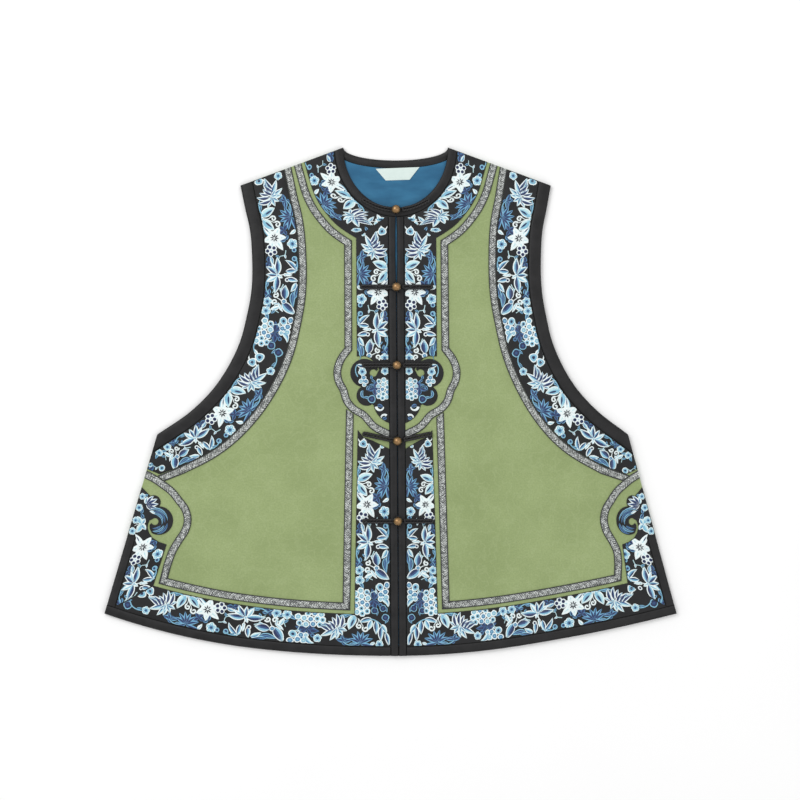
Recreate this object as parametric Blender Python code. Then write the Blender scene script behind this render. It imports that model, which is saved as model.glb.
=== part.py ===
"""Embroidered waistcoat laid flat, front up, modelled as its cut pieces.

The garment lies on its back layer at z = 0, with +Y to the neck and +X to the wearer's left.
Pieces are drawn in cut coordinates, in millimetres: "out" is the distance from the front
opening, negative on the wearer's right, and "drop" is the distance down from the neck point.
The function laid puts those coordinates on the table.
"""
import math

import bmesh
import bpy
import numpy as np
from mathutils.geometry import delaunay_2d_cdt

MM = 0.001
RIGHT = -1
LEFT = 1
SIDES = (("R", RIGHT), ("L", LEFT))

# Cut of the garment
LENGTH = 661.0
NECK_HALF = 68.0
FRONT_NECK_DROP = 78.0
BACK_NECK_DROP = 16.5
SHOULDER_HALF = 201.8
SHOULDER_DROP = 49.5
UNDERARM_HALF = 306.0
UNDERARM_DROP = 373.0
CORNER_HALF = 372.0
CORNER_DROP = 606.0
SLIT_DROP = 506.0
HEM_POWER = {RIGHT: 2.35, LEFT: 1.75}

# Armhole edge from shoulder to underarm: out, drop
ARMHOLE = (
    (SHOULDER_HALF, SHOULDER_DROP),
    (196.0, 80.0),
    (190.5, 106.0),
    (188.0, 140.0),
    (189.5, 190.0),
    (195.0, 220.0),
    (203.0, 252.0),
    (216.0, 281.5),
    (236.0, 313.0),
    (262.0, 340.5),
    (UNDERARM_HALF, UNDERARM_DROP),
)

# How far each armhole lies in from the cut, at the middle of its edge
ARMHOLE_SHIFT = {RIGHT: 2.8, LEFT: -2.6}

# How the garment was laid: its outline leans a little and the opening stays nearly upright
LEAN_AT_NECK = 7.2
OPENING_AT_NECK = 6.6
OPENING_AT_HEM = 10.7
LEAN_FROM = 70.0
LEAN_OVER = 160.0

# Widths of the trimmings
SEAM = 0.3
NECK_BINDING = 12.0
NECK_FACING = 10.0
FRONT_BINDING = 10.4
ARMHOLE_BINDING = 16.5
HEM_BINDING = 12.0
SIDE_BINDING = 11.0
BRAID_HALF = 5.0
BRAID_FROM_RIBBON = 10.6
BRAID_FROM_NECK_RIBBON = 9.2
SLIT_OF_OPENING = 0.3
MITRE_GAP = 2 * SEAM

# Ribbon down the chest and the skirt: its outer edge, out from the opening
CHEST_RIBBON = 52.0
CHEST_RIBBON_END = 271.5
SKIRT_RIBBON_TOP = 48.5
SKIRT_RIBBON_HEM = 54.3
SKIRT_RIBBON_SHIFT = 3.0
SKIRT_POINT_DROP = 367.0

# Outer edge of the ribbon round the neck, from shoulder to chest: out, drop
NECK_RIBBON = (
    (119.0, 18.6),
    (113.8, 37.0),
    (108.0, 56.0),
    (99.5, 73.5),
    (89.0, 88.0),
    (77.4, 100.5),
    (64.5, 110.0),
    (CHEST_RIBBON, 117.7),
)

# Scallops of the cloud head on the chest: centre out, centre drop, radius, first angle, last angle
CHEST_CLOUD = (
    (42.1, 293.2, 18.5, 128.0, -73.0),
    (39.5, 322.5, 13.2, 56.0, -122.0),
    (1.0, 329.5, 30.2, -10.0, -71.0),
)
# Fall of the cloud head's lower edge to the front binding
CHEST_CLOUD_FALL = 1.0
# Notch between the chest ribbon and its cloud head: out, drop
CHEST_NOTCH = ((41.0, CHEST_RIBBON_END), (34.6, 274.0))
CHEST_EYE = (30.7, 293.2, 4.8, 150.0, -150.0)
# Tail of the eye of the chest cloud: out, drop
CHEST_EYE_TAIL = (
    (25.0, 292.2),
    (23.0, 288.6),
    (24.4, 285.4),
    (25.6, 286.2),
    (24.8, 288.4),
    (26.6, 290.4),
)

# Top edge of the skirt ribbon, from its point to the opening: out, drop
SKIRT_RIBBON_EDGE = ((41.5, 376.5), (30.0, 381.0), (17.0, 388.0))
SKIRT_RIBBON_INNER_DROP = 391.5

# Ribbons along the hem and up the side
HEM_RIBBON = 54.0
SIDE_RIBBON = 51.0
HEM_BRAID = 63.5
SIDE_CLOUD_START = 441.4
# The wearer's left side trimmings lie nearer the seam, down to the pointed corner of the ribbon
SIDE_PULL = {RIGHT: 0.0, LEFT: 0.15}
PULL_FADE = 52.0
SIDE_CLOUD_POINT = (292.0, 516.0)
# Scallops of the side cloud head: centre out, centre drop, radius, first angle, last angle
SIDE_CLOUD = (
    (309.5, 461.0, 9.0, 62.0, 214.0),
    (302.5, 485.0, 18.5, 92.0, 300.0),
)
SIDE_EYE = (307.6, 486.2, 4.6, -58.0, -318.0)
# Inner and outer sides of the curling cut in the side cloud: out, drop
SIDE_CURL_INNER = ((314.6, 494.7), (314.4, 490.6), (312.4, 488.2))
SIDE_CURL_OUTER = (
    (314.6, 484.6),
    (316.6, 489.6),
    (317.0, 494.7),
    (315.0, 501.0),
    (310.4, 507.4),
    (302.0, 512.6),
)

# Armhole ribbon: its reach from the edge, how much it narrows, and its end at the side seam
ARMHOLE_RIBBON = 59.2
ARMHOLE_BRAID = 64.5
ARMHOLE_NARROWING = 10.0
NARROWING_FROM = 0.8
NARROWING_OVER = 0.3
ARMHOLE_RIBBON_TIP = (302.0, 424.6)
ARMHOLE_RIBBON_END = 418.0

# Centre of the braid round the chest cloud, down to the opening: out, drop
CLOUD_BRAID = (
    (63.0, 262.0),
    (73.0, 276.0),
    (77.5, 291.0),
    (76.0, 303.0),
    (69.5, 316.0),
    (66.0, 328.0),
    (57.0, 339.5),
    (44.0, 347.5),
    (31.0, 362.0),
    (11.0, 373.0),
)
# Centre of the braid round the side cloud, from the seam to the hem braid: out, drop
SIDE_BRAID = (
    (321.0, 424.5),
    (308.5, 431.0),
    (297.5, 438.5),
    (287.0, 446.5),
    (277.0, 458.5),
    (268.0, 471.0),
    (265.0, 484.5),
    (268.0, 497.5),
    (276.5, 511.0),
    (284.0, 524.0),
    (290.5, 542.0),
)
# End of the armhole braid, and the lines where one braid stops short of another: out, drop
ARMHOLE_BRAID_END = (295.5, 428.3)
ARMHOLE_BRAID_STOP = ((305.5, 426.0), (294.5, 433.8))
SKIRT_BRAID_START = ((65.5, 340.6), (52.0, 350.2))
SKIRT_BRAID_TOP = 345.0

# Neck label, as it lies: out, drop
LABEL = ((-26.1, 27.4), (30.9, 25.2), (17.9, 41.6), (-13.1, 42.6))

# Frog closures: drop of the button, reach of the arm, rise of the arm's end, bend of the arm
FROGS = (
    (81.0, 41.0, 12.0, 2.0),
    (181.5, 44.0, 0.0, 1.0),
    (283.0, 42.0, 0.0, 1.0),
    (381.5, 42.0, 9.0, 1.0),
    (485.5, 43.0, 0.0, 1.0),
)
CORD_RADIUS = 1.6
CORD_SPACING = 1.75
CORD_TURN = 2.3
CORD_TURN_ANGLES = (-40.0, 0.0, 40.0)
LOOP_RADIUS = 4.7
LOOP_ANGLES = (222.0, 498.0)
ARM_START = 5.9
KNOT_START = 10.7
BALL_RADIUS = 5.75
STEM_RADIUS = 1.6

# Heights of the layers: low and high faces
SHELL = (0.0, 1.6)
LINING = (1.9, 2.9)
BACK_EDGE = (0.0, 2.9)
LABEL_LAYER = (3.2, 4.2)
FRONT = (3.2, 5.2)
FRONT_EDGE = (3.2, 6.2)
RIBBON = (5.5, 6.5)
BRAID = (5.5, 6.8)
FROG_BASE = 7.1

# Soft swells and folds of the front: x, y, long reach, short reach, turn in degrees, rise
SWELLS = (
    (-135.0, -55.0, 175.0, 105.0, 90.0, 3.2),
    (145.0, -60.0, 175.0, 105.0, 90.0, 3.2),
    (-98.0, -190.0, 110.0, 36.0, 84.0, 0.8),
    (-238.0, -125.0, 105.0, 37.0, 62.0, 0.8),
    (-108.0, 130.0, 90.0, 36.0, 97.0, 0.6),
    (112.0, -175.0, 115.0, 36.0, 97.0, 0.8),
    (242.0, -130.0, 105.0, 37.0, 118.0, 0.7),
    (122.0, 125.0, 95.0, 36.0, 82.0, 0.6),
)

# Cross sections: share of the width, share of the height
FLAT_SECTION = ((0.0, 0.0), (1.0, 0.0), (1.0, 1.0), (0.0, 1.0))
ROLLED_SECTION = ((0.0, 0.0), (1.0, 0.0), (1.0, 0.75), (0.5, 1.0), (0.0, 0.75))

# Spacing of the points
PANEL_GRID = 27.0
RIBBON_GRID = 21.0
BRAID_STEP = 14.0
ARMHOLE_STEP = 19.5
NECK_STEPS = 9
SIDE_POINTS = 6
HEM_STEP = 24.0
LEAST_STEP = 6.0
ARC_STEP = 30.0
SIDE_EYE_STEP = 45.0
ARM_POINTS = 5
LOOP_POINTS = 11
BALL_SEGMENTS = 12
BALL_ROWS = 8
CORD_SIDES = 6
SHARP_ANGLE = 50.0

# Staggered points inside a piece: row height and clearances, as shares of the spacing
GRID_ROW = 0.87
GRID_STAGGER = 0.5
GRID_FROM_EDGE = 0.5
GRID_FROM_HOLE = 0.3
# Points nearer than this are one point
SAME_POINT = 1e-6
# Rounds that settle where two edges meet
MEETING_ROUNDS = 6

# Colour, roughness and metallic value of each material
MATERIALS = {
    "green_silk": ((0.33, 0.42, 0.19), 0.55, 0.0),
    "black_satin": ((0.035, 0.033, 0.034), 0.42, 0.0),
    "ribbon_satin": ((0.045, 0.046, 0.055), 0.5, 0.0),
    "blue_lining": ((0.05, 0.18, 0.32), 0.4, 0.0),
    "brocade_braid": ((0.38, 0.39, 0.43), 0.45, 0.25),
    "black_cord": ((0.03, 0.028, 0.028), 0.5, 0.0),
    "old_brass": ((0.45, 0.27, 0.11), 0.35, 1.0),
    "white_label": ((0.85, 0.9, 0.88), 0.6, 0.0),
}


def smooth_step(value):
    """Ease from 0 to 1."""
    t = np.clip(value, 0.0, 1.0)
    return t * t * (3.0 - 2.0 * t)


def laid(points):
    """Place cut coordinates on the table, as x and y."""
    points = np.asarray(points, float)
    out = points[:, 0]
    drop = points[:, 1]
    lean = LEAN_AT_NECK * (1.0 - drop / CORNER_DROP)
    opening = OPENING_AT_NECK + (OPENING_AT_HEM - OPENING_AT_NECK) * drop / LENGTH
    axis = opening + (lean - opening) * smooth_step((np.abs(out) - LEAN_FROM) / LEAN_OVER)
    return np.column_stack([out + axis, LENGTH / 2 - drop])


def relief(places):
    """Height of the front's swells and folds over places on the table."""
    height = np.zeros(len(places))
    for x, y, long_reach, short_reach, turn, rise in SWELLS:
        away = places - np.array([x, y])
        angle = math.radians(turn)
        along = away[:, 0] * math.cos(angle) + away[:, 1] * math.sin(angle)
        across = away[:, 1] * math.cos(angle) - away[:, 0] * math.sin(angle)
        height += rise * np.exp(-((along / long_reach) ** 2) - (across / short_reach) ** 2)
    return height


# Curves


def spline(table, step):
    """Return points about a step apart on a smooth curve through a table's rows."""
    rows = np.array(table, float)
    runs = np.linalg.norm(np.diff(rows, axis=0), axis=1)
    at = np.concatenate([[0.0], np.cumsum(runs)])
    slopes = np.gradient(rows, at, axis=0)
    where = np.linspace(0.0, at[-1], max(2, round(at[-1] / step)) + 1)
    k = np.clip(np.searchsorted(at, where, side="right") - 1, 0, len(runs) - 1)
    run = runs[k][:, None]
    t = (where - at[k])[:, None] / run
    ends = (1 + 2 * t) * (1 - t) ** 2 * rows[k] + t * t * (3 - 2 * t) * rows[k + 1]
    return ends + t * (1 - t) ** 2 * run * slopes[k] + t * t * (t - 1) * run * slopes[k + 1]


def arc(out, drop, radius, first, last, step=ARC_STEP):
    """Return points on an arc, with angles in degrees from outward, turning up to the neck."""
    count = max(3, math.ceil(abs(last - first) / step)) + 1
    angles = np.radians(np.linspace(first, last, count))
    return np.column_stack([out + radius * np.cos(angles), drop - radius * np.sin(angles)])


def offset(curve, distance):
    """Move a curve sideways, to the right of its direction on the cut, with mitred corners."""
    headings = np.diff(curve, axis=0)
    headings /= np.linalg.norm(headings, axis=1)[:, None]
    normals = np.column_stack([-headings[:, 1], headings[:, 0]])
    before = np.vstack([normals[:1], normals])
    after = np.vstack([normals, normals[-1:]])
    share = 1.0 + np.sum(before * after, axis=1)
    return curve + (before + after) / share[:, None] * np.reshape(distance, (-1, 1))


def meet(point, heading, line):
    """Return where a line through a point crosses another line."""
    start, end = np.asarray(line, float)
    sides = np.column_stack([heading, start - end])
    return point + np.linalg.solve(sides, start - point)[0] * heading


def trimmed(curve, first_line=None, last_line=None):
    """Lengthen or cut a curve's end runs so that they stop on the given lines."""
    curve = np.array(curve, float)
    if first_line is not None:
        curve[0] = meet(curve[1], curve[0] - curve[1], first_line)
    if last_line is not None:
        curve[-1] = meet(curve[-2], curve[-1] - curve[-2], last_line)
    return curve


def upright(out):
    """Return a line straight down the garment at a distance from the opening."""
    return ((out, 0.0), (out, LENGTH))


SHOULDER_LINE = ((NECK_HALF, 0.0), (SHOULDER_HALF, SHOULDER_DROP))
SEAM_LINE = ((UNDERARM_HALF, UNDERARM_DROP), (CORNER_HALF, CORNER_DROP))
SEAM_SLOPE = (CORNER_HALF - UNDERARM_HALF) / (CORNER_DROP - UNDERARM_DROP)
SEAM_STRETCH = math.hypot(1.0, SEAM_SLOPE)


def armhole_line(side, inset, narrowing=0.0):
    """Return the armhole edge moved in, from shoulder to side."""
    edge = spline(ARMHOLE, ARMHOLE_STEP)
    share = np.linspace(0.0, 1.0, len(edge))
    inset = inset + ARMHOLE_SHIFT[side] * np.sin(np.pi * share)
    eased = smooth_step((share - NARROWING_FROM) / NARROWING_OVER)
    return trimmed(offset(edge, inset - narrowing * eased), SHOULDER_LINE)


def armhole_to_seam(side, inset):
    """Return the armhole edge moved in, ended on the side seam."""
    return trimmed(armhole_line(side, inset), last_line=SEAM_LINE)


def neck_line(depth, inset, start):
    """Return the neck edge moved out into the cloth, from a distance off the middle to the shoulder."""
    angles = np.linspace(0.0, math.pi / 2, NECK_STEPS + 1)
    edge = np.column_stack([NECK_HALF * np.sin(angles), depth * np.cos(angles)])
    return trimmed(offset(edge, inset), upright(start), SHOULDER_LINE)


def hem_at(side, out, inset):
    """Return the drop of the hem moved up by an inset."""
    power = HEM_POWER[side]
    share = np.asarray(out, float) / CORNER_HALF
    slope = (LENGTH - CORNER_DROP) * power * share ** (power - 1) / CORNER_HALF
    return LENGTH - (LENGTH - CORNER_DROP) * share**power - inset * np.hypot(1.0, slope)


def seam_at(drop, inset):
    """Return the distance out of the side seam moved in by an inset."""
    return UNDERARM_HALF + SEAM_SLOPE * (drop - UNDERARM_DROP) - inset * SEAM_STRETCH


def pulled(side, points):
    """Draw one side's trimmings nearer the seam, as they lie."""
    points = np.reshape(np.array(points, float), (-1, 2))
    drop = points[:, 1]
    share = SIDE_PULL[side] * (1.0 - smooth_step((drop - SIDE_CLOUD_POINT[1]) / PULL_FADE))
    points[:, 0] += (seam_at(drop, 0.0) - points[:, 0]) * share
    return points


def hem_corner(side, side_inset, hem_inset):
    """Return where the side moved in meets the hem moved up."""
    out = CORNER_HALF
    for _ in range(MEETING_ROUNDS):
        out = seam_at(hem_at(side, out, hem_inset), side_inset)
    return np.array([out, hem_at(side, out, hem_inset)])


def hem_line(side, inset, start, side_inset=0.0):
    """Return the hem moved up, from a distance off the opening to the side moved in."""
    last = hem_corner(side, side_inset, inset)
    count = math.ceil(CORNER_HALF / HEM_STEP)
    stations = np.linspace(0.0, CORNER_HALF, count + 1)
    inner = stations[(stations > start + LEAST_STEP) & (stations < last[0] - LEAST_STEP)]
    out = np.concatenate([[start], inner])
    return np.vstack([np.column_stack([out, hem_at(side, out, inset)]), last])


def skirt_edge(side, drop):
    """Return the distance out of the skirt ribbon's outer edge."""
    share = (drop - SKIRT_POINT_DROP) / (CORNER_DROP - SKIRT_POINT_DROP)
    shift = -side * SKIRT_RIBBON_SHIFT
    return SKIRT_RIBBON_TOP + (SKIRT_RIBBON_HEM - SKIRT_RIBBON_TOP) * share + shift


def skirt_corner(side, from_edge, inset):
    """Return where a line beside the skirt ribbon meets the hem moved up."""
    out = SKIRT_RIBBON_HEM
    for _ in range(MEETING_ROUNDS):
        out = skirt_edge(side, hem_at(side, out, inset)) + from_edge
    return np.array([out, hem_at(side, out, inset)])


# Solids


def new_object(name, slot, faces):
    """Make a named object with its material from a list of faces, each a list of points in mm."""
    mesh = bpy.data.meshes.new(name)
    shape = bmesh.new()
    known = {}
    for face in faces:
        corners = []
        for point in face:
            key = tuple(np.round(point, 5))
            if key not in known:
                known[key] = shape.verts.new([value * MM for value in point])
            corners.append(known[key])
        shape.faces.new(corners)
    bmesh.ops.recalc_face_normals(shape, faces=shape.faces)
    shape.to_mesh(mesh)
    shape.free()
    thing = bpy.data.objects.new(name, mesh)
    bpy.context.collection.objects.link(thing)
    mesh.materials.append(bpy.data.materials[slot])
    return thing


def divided(outline, spacing):
    """Split the long straight edges of a closed outline."""
    points = []
    for start, end in zip(outline, np.roll(outline, -1, axis=0)):
        count = max(1, round(np.linalg.norm(end - start) / spacing))
        shares = np.arange(count)[:, None] / count
        points.append(start + (end - start) * shares)
    return np.vstack(points)


def inside(points, outline):
    """Say which points lie inside a closed outline."""
    result = np.zeros(len(points), bool)
    for (x0, y0), (x1, y1) in zip(outline, np.roll(outline, -1, axis=0)):
        if y0 == y1:
            continue
        spans = (points[:, 1] > min(y0, y1)) & (points[:, 1] <= max(y0, y1))
        crossing = x0 + (points[:, 1] - y0) * (x1 - x0) / (y1 - y0)
        result ^= spans & (points[:, 0] < crossing)
    return result


def distance_to(points, outline):
    """Return each point's distance to a closed outline."""
    best = np.full(len(points), np.inf)
    for start, end in zip(outline, np.roll(outline, -1, axis=0)):
        run = end - start
        share = np.clip((points - start) @ run / (run @ run), 0.0, 1.0)
        best = np.minimum(best, np.linalg.norm(points - start - share[:, None] * run, axis=1))
    return best


def staggered_grid(outline, spacing):
    """Return a staggered grid of points well inside a closed outline."""
    low = outline.min(axis=0)
    high = outline.max(axis=0)
    rows = np.arange(low[1] + spacing / 2, high[1], spacing * GRID_ROW)
    points = []
    for number, y in enumerate(rows):
        start = low[0] + spacing * GRID_STAGGER * (0.5 + number % 2)
        points += [(x, y) for x in np.arange(start, high[0], spacing)]
    points = np.array(points, float).reshape(-1, 2)
    clear = distance_to(points, outline) > GRID_FROM_EDGE * spacing
    return points[inside(points, outline) & clear]


def triangles_of(outline, holes, spacing, filled):
    """Triangulate a cut piece and return its points and triangles."""
    loops = [divided(loop, spacing) for loop in (outline, *holes)]
    grid = np.zeros((0, 2))
    if filled:
        grid = staggered_grid(loops[0], spacing)
    for hole in loops[1:]:
        clear = distance_to(grid, hole) > GRID_FROM_HOLE * spacing
        grid = grid[~inside(grid, hole) & clear]
    edges = []
    start = 0
    for loop in loops:
        numbers = np.arange(len(loop))
        edges += [(start + a, start + (a + 1) % len(loop)) for a in numbers]
        start += len(loop)
    points = [tuple(point) for point in np.vstack([*loops, grid])]
    made = delaunay_2d_cdt(points, edges, [], 0, SAME_POINT)
    corners = np.array(made[0], float)
    faces = np.array(made[2], int)
    centres = corners[faces].mean(axis=1)
    keep = inside(centres, loops[0])
    for hole in loops[1:]:
        keep &= ~inside(centres, hole)
    return corners, faces[keep]


def sheet(name, slot, outline, layer, soft, spacing=PANEL_GRID, holes=(), filled=True):
    """Make a cloth piece from its outline, between the low and high faces of a layer."""
    outline = np.array(outline, float)
    holes = [np.array(hole, float) for hole in holes]
    corners, triangles = triangles_of(outline, holes, spacing, filled)
    places = laid(corners)
    rise = relief(places) if soft else np.zeros(len(places))
    low = np.column_stack([places, layer[0] + rise])
    high = np.column_stack([places, layer[1] + rise])
    faces = []
    edges = {}
    for triangle in triangles:
        faces.append(high[triangle])
        faces.append(low[triangle[::-1]])
        for a, b in zip(triangle, np.roll(triangle, -1)):
            edges[(a, b)] = (b, a) not in edges
            if not edges[(a, b)]:
                edges[(b, a)] = False
    rim = [edge for edge, single in edges.items() if single]
    faces += [[high[a], low[a], low[b], high[b]] for a, b in rim]
    return new_object(name, slot, faces)


def swept(name, slot, rings, closed=False):
    """Join a row of rings of points into one solid."""
    faces = []
    count = len(rings)
    for number in range(count if closed else count - 1):
        ring = rings[number]
        following = rings[(number + 1) % count]
        for a in range(len(ring)):
            b = (a + 1) % len(ring)
            faces.append([ring[a], ring[b], following[b], following[a]])
    if not closed:
        faces.append(rings[0][::-1])
        faces.append(rings[-1])
    return new_object(name, slot, faces)


def strip(name, slot, side, inner, outer, layer, soft, section=FLAT_SECTION):
    """Make a long narrow piece between two edges drawn with matching points."""
    flip = np.array([side, 1.0])
    columns = []
    for share, level in section:
        places = laid((inner * (1 - share) + outer * share) * flip)
        rise = relief(places) if soft else np.zeros(len(places))
        columns.append(np.column_stack([places, rise + layer[0] + (layer[1] - layer[0]) * level]))
    return swept(name, slot, list(np.stack(columns, axis=1)))


def rolled_binding(name, side, inner, outer):
    """Make a rolled satin binding of the front between two edges."""
    strip(name, "black_satin", side, inner, outer, FRONT_EDGE, True, ROLLED_SECTION)


def back_binding(name, side, inner, outer):
    """Make a flat satin binding of the back between two edges."""
    strip(name, "black_satin", side, inner, outer, BACK_EDGE, False)


def on_side(side, *parts):
    """Join runs of points into one outline and put it on a side of the garment."""
    points = np.vstack([np.reshape(part, (-1, 2)) for part in parts])
    return points * np.array([side, 1.0])


# Green panels and lining


def armhole_and_slit(side):
    """Return a body panel's edge from the shoulder round the armhole and down the side to the hem."""
    return (
        armhole_to_seam(side, ARMHOLE_BINDING + SEAM),
        [(seam_at(SLIT_DROP, 0.0), SLIT_DROP)],
        [(seam_at(SLIT_DROP, SIDE_BINDING + SEAM), SLIT_DROP)],
        hem_line(side, HEM_BINDING + SEAM, FRONT_BINDING + SEAM, SIDE_BINDING + SEAM)[::-1],
    )


def front_panels():
    """Make the two green silk fronts."""
    for letter, side in SIDES:
        edge = FRONT_BINDING + SEAM
        neck = neck_line(FRONT_NECK_DROP, NECK_BINDING + SEAM, edge)
        outline = on_side(side, neck, *armhole_and_slit(side))
        sheet(f"front_panel_{letter}", "green_silk", outline, FRONT, True)


def back_outline():
    """Return the outline of the back and its lining, both halves."""
    halves = []
    for _, side in SIDES:
        neck = neck_line(BACK_NECK_DROP, NECK_FACING + SEAM, 0.0)
        halves.append(on_side(side, neck, *armhole_and_slit(side)))
    return np.vstack([halves[1], halves[0][1:][::-1]])


def back_pieces():
    """Make the back panel and the lining over it."""
    outline = back_outline()
    sheet("back_panel", "green_silk", outline, SHELL, False, filled=False)
    sheet("back_lining", "blue_lining", outline, LINING, False, filled=False)


def neck_label():
    """Make the bare label sewn below the back neck."""
    sheet("neck_label", "white_label", LABEL, LABEL_LAYER, False, filled=False)


# Bindings


def neck_bindings():
    """Make the binding round the front neck and the facing round the back neck."""
    for letter, side in SIDES:
        inner = neck_line(FRONT_NECK_DROP, 0.0, SLIT_OF_OPENING)
        outer = neck_line(FRONT_NECK_DROP, NECK_BINDING, SLIT_OF_OPENING)
        rolled_binding(f"neck_binding_{letter}", side, inner, outer)
    edge = neck_line(BACK_NECK_DROP, 0.0, 0.0)
    lower = neck_line(BACK_NECK_DROP, NECK_FACING, 0.0)
    mirror = np.array([-1.0, 1.0])
    edge = np.vstack([(edge * mirror)[:0:-1], edge])
    lower = np.vstack([(lower * mirror)[:0:-1], lower])
    back_binding("neck_facing_back", LEFT, edge, lower)


def front_edge_bindings():
    """Make the bindings down the front edges."""
    for letter, side in SIDES:
        drops = np.arange(0.0, LENGTH, HEM_STEP)
        start = neck_line(FRONT_NECK_DROP, NECK_BINDING + SEAM, SLIT_OF_OPENING)[0, 1]
        drops = np.concatenate([[start], drops[drops > start + LEAST_STEP], [LENGTH]])
        inner = np.column_stack([np.full(len(drops), SLIT_OF_OPENING), drops])
        outer = np.column_stack([np.full(len(drops), FRONT_BINDING), drops])
        outer[0, 1] = neck_line(FRONT_NECK_DROP, NECK_BINDING + SEAM, FRONT_BINDING)[0, 1]
        inner[-1, 1] = hem_at(side, SLIT_OF_OPENING, 0.0)
        outer[-1, 1] = hem_at(side, FRONT_BINDING, 0.0)
        rolled_binding(f"front_edge_binding_{letter}", side, inner, outer)


def armhole_bindings():
    """Make the bindings round the armholes, front and back."""
    for letter, side in SIDES:
        inner = armhole_to_seam(side, ARMHOLE_BINDING)
        outer = armhole_to_seam(side, 0.0)
        rolled_binding(f"armhole_binding_{letter}", side, inner, outer)
        back_binding(f"back_armhole_binding_{letter}", side, inner, outer)


def side_edge(side, inset):
    """Return the slit's edge moved in, from the top of the slit to the hem binding."""
    last = hem_corner(side, inset, HEM_BINDING + SEAM)
    shares = np.linspace(0.0, 1.0, SIDE_POINTS)[:, None]
    first = np.array([seam_at(SLIT_DROP + SEAM, inset), SLIT_DROP + SEAM])
    return first + (last - first) * shares


def hem_edges(side, start):
    """Return the lower and upper edges of the hem binding with matching points."""
    lower = hem_line(side, 0.0, start)
    upper = lower.copy()
    upper[:, 1] = hem_at(side, upper[:, 0], HEM_BINDING)
    upper[-1] = hem_corner(side, 0.0, HEM_BINDING)
    return upper, lower


def hem_and_side_bindings():
    """Make the bindings of the hems and of the side slits, front and back."""
    for letter, side in SIDES:
        upper, lower = hem_edges(side, FRONT_BINDING + SEAM)
        rolled_binding(f"hem_binding_{letter}", side, upper, lower)
        inner = side_edge(side, SIDE_BINDING)
        outer = side_edge(side, 0.0)
        rolled_binding(f"side_binding_{letter}", side, inner, outer)
        back_binding(f"back_side_binding_{letter}", side, inner, outer)
    mirror = np.array([-1.0, 1.0])
    upper_right, lower_right = hem_edges(RIGHT, 0.0)
    upper_left, lower_left = hem_edges(LEFT, 0.0)
    upper = np.vstack([(upper_right * mirror)[:0:-1], upper_left])
    lower = np.vstack([(lower_right * mirror)[:0:-1], lower_left])
    back_binding("back_hem_binding", LEFT, upper, lower)


# Embroidered ribbons


def mitre_at_hem(side, gap):
    """Return the corners of the mitre between the skirt ribbon and the hem ribbon."""
    inner = skirt_corner(side, 0.0, HEM_RIBBON)
    outer = np.array([FRONT_BINDING + SEAM, hem_at(side, FRONT_BINDING + SEAM, HEM_BINDING + SEAM)])
    return inner - [0.0, gap], outer - [0.0, gap]


def neck_ribbons():
    """Make the ribbon round the neck."""
    for letter, side in SIDES:
        start = FRONT_BINDING + SEAM
        inner = neck_line(FRONT_NECK_DROP, NECK_BINDING + SEAM, start)
        outer = trimmed(spline(NECK_RIBBON, RIBBON_GRID), SHOULDER_LINE)
        outline = on_side(side, inner, outer)
        sheet(f"neck_border_{letter}", "ribbon_satin", outline, RIBBON, True, RIBBON_GRID)


def chest_ribbons():
    """Make the ribbon down the chest with its cloud head."""
    for letter, side in SIDES:
        start = FRONT_BINDING + SEAM
        top = neck_line(FRONT_NECK_DROP, NECK_BINDING + SEAM, start)[0] + [0.0, MITRE_GAP]
        outer_top = (CHEST_RIBBON, NECK_RIBBON[-1][1] + MITRE_GAP)
        outer_end = (CHEST_RIBBON, CHEST_RIBBON_END)
        lobes = [arc(*row) for row in CHEST_CLOUD]
        last = (start, lobes[-1][-1, 1] + CHEST_CLOUD_FALL)
        outline = on_side(side, top, outer_top, outer_end, CHEST_NOTCH, *lobes, last)
        eye = on_side(side, arc(*CHEST_EYE), CHEST_EYE_TAIL)
        name = f"front_border_upper_{letter}"
        sheet(name, "ribbon_satin", outline, RIBBON, True, RIBBON_GRID, holes=[eye])


def skirt_ribbons():
    """Make the ribbon from the fourth button to the hem."""
    for letter, side in SIDES:
        start = FRONT_BINDING + SEAM
        inner, outer = mitre_at_hem(side, MITRE_GAP)
        point = (skirt_edge(side, SKIRT_POINT_DROP), SKIRT_POINT_DROP)
        inner_top = (start, SKIRT_RIBBON_INNER_DROP)
        shift = 1.0 - side * SKIRT_RIBBON_SHIFT / SKIRT_RIBBON_TOP
        edge = [(out * shift, drop) for out, drop in SKIRT_RIBBON_EDGE]
        outline = on_side(side, point, edge, inner_top, outer, inner)
        sheet(f"front_border_lower_{letter}", "ribbon_satin", outline, RIBBON, True, RIBBON_GRID)


def hem_ribbons():
    """Make the ribbon along the hem, mitred at both ends."""
    for letter, side in SIDES:
        inner, outer = mitre_at_hem(side, 0.0)
        upper = hem_line(side, HEM_RIBBON, inner[0], SIDE_RIBBON)
        lower = hem_line(side, HEM_BINDING + SEAM, outer[0], SIDE_BINDING + SEAM)
        outline = on_side(side, upper, lower[::-1])
        sheet(f"hem_border_{letter}", "ribbon_satin", outline, RIBBON, True, RIBBON_GRID)


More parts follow.
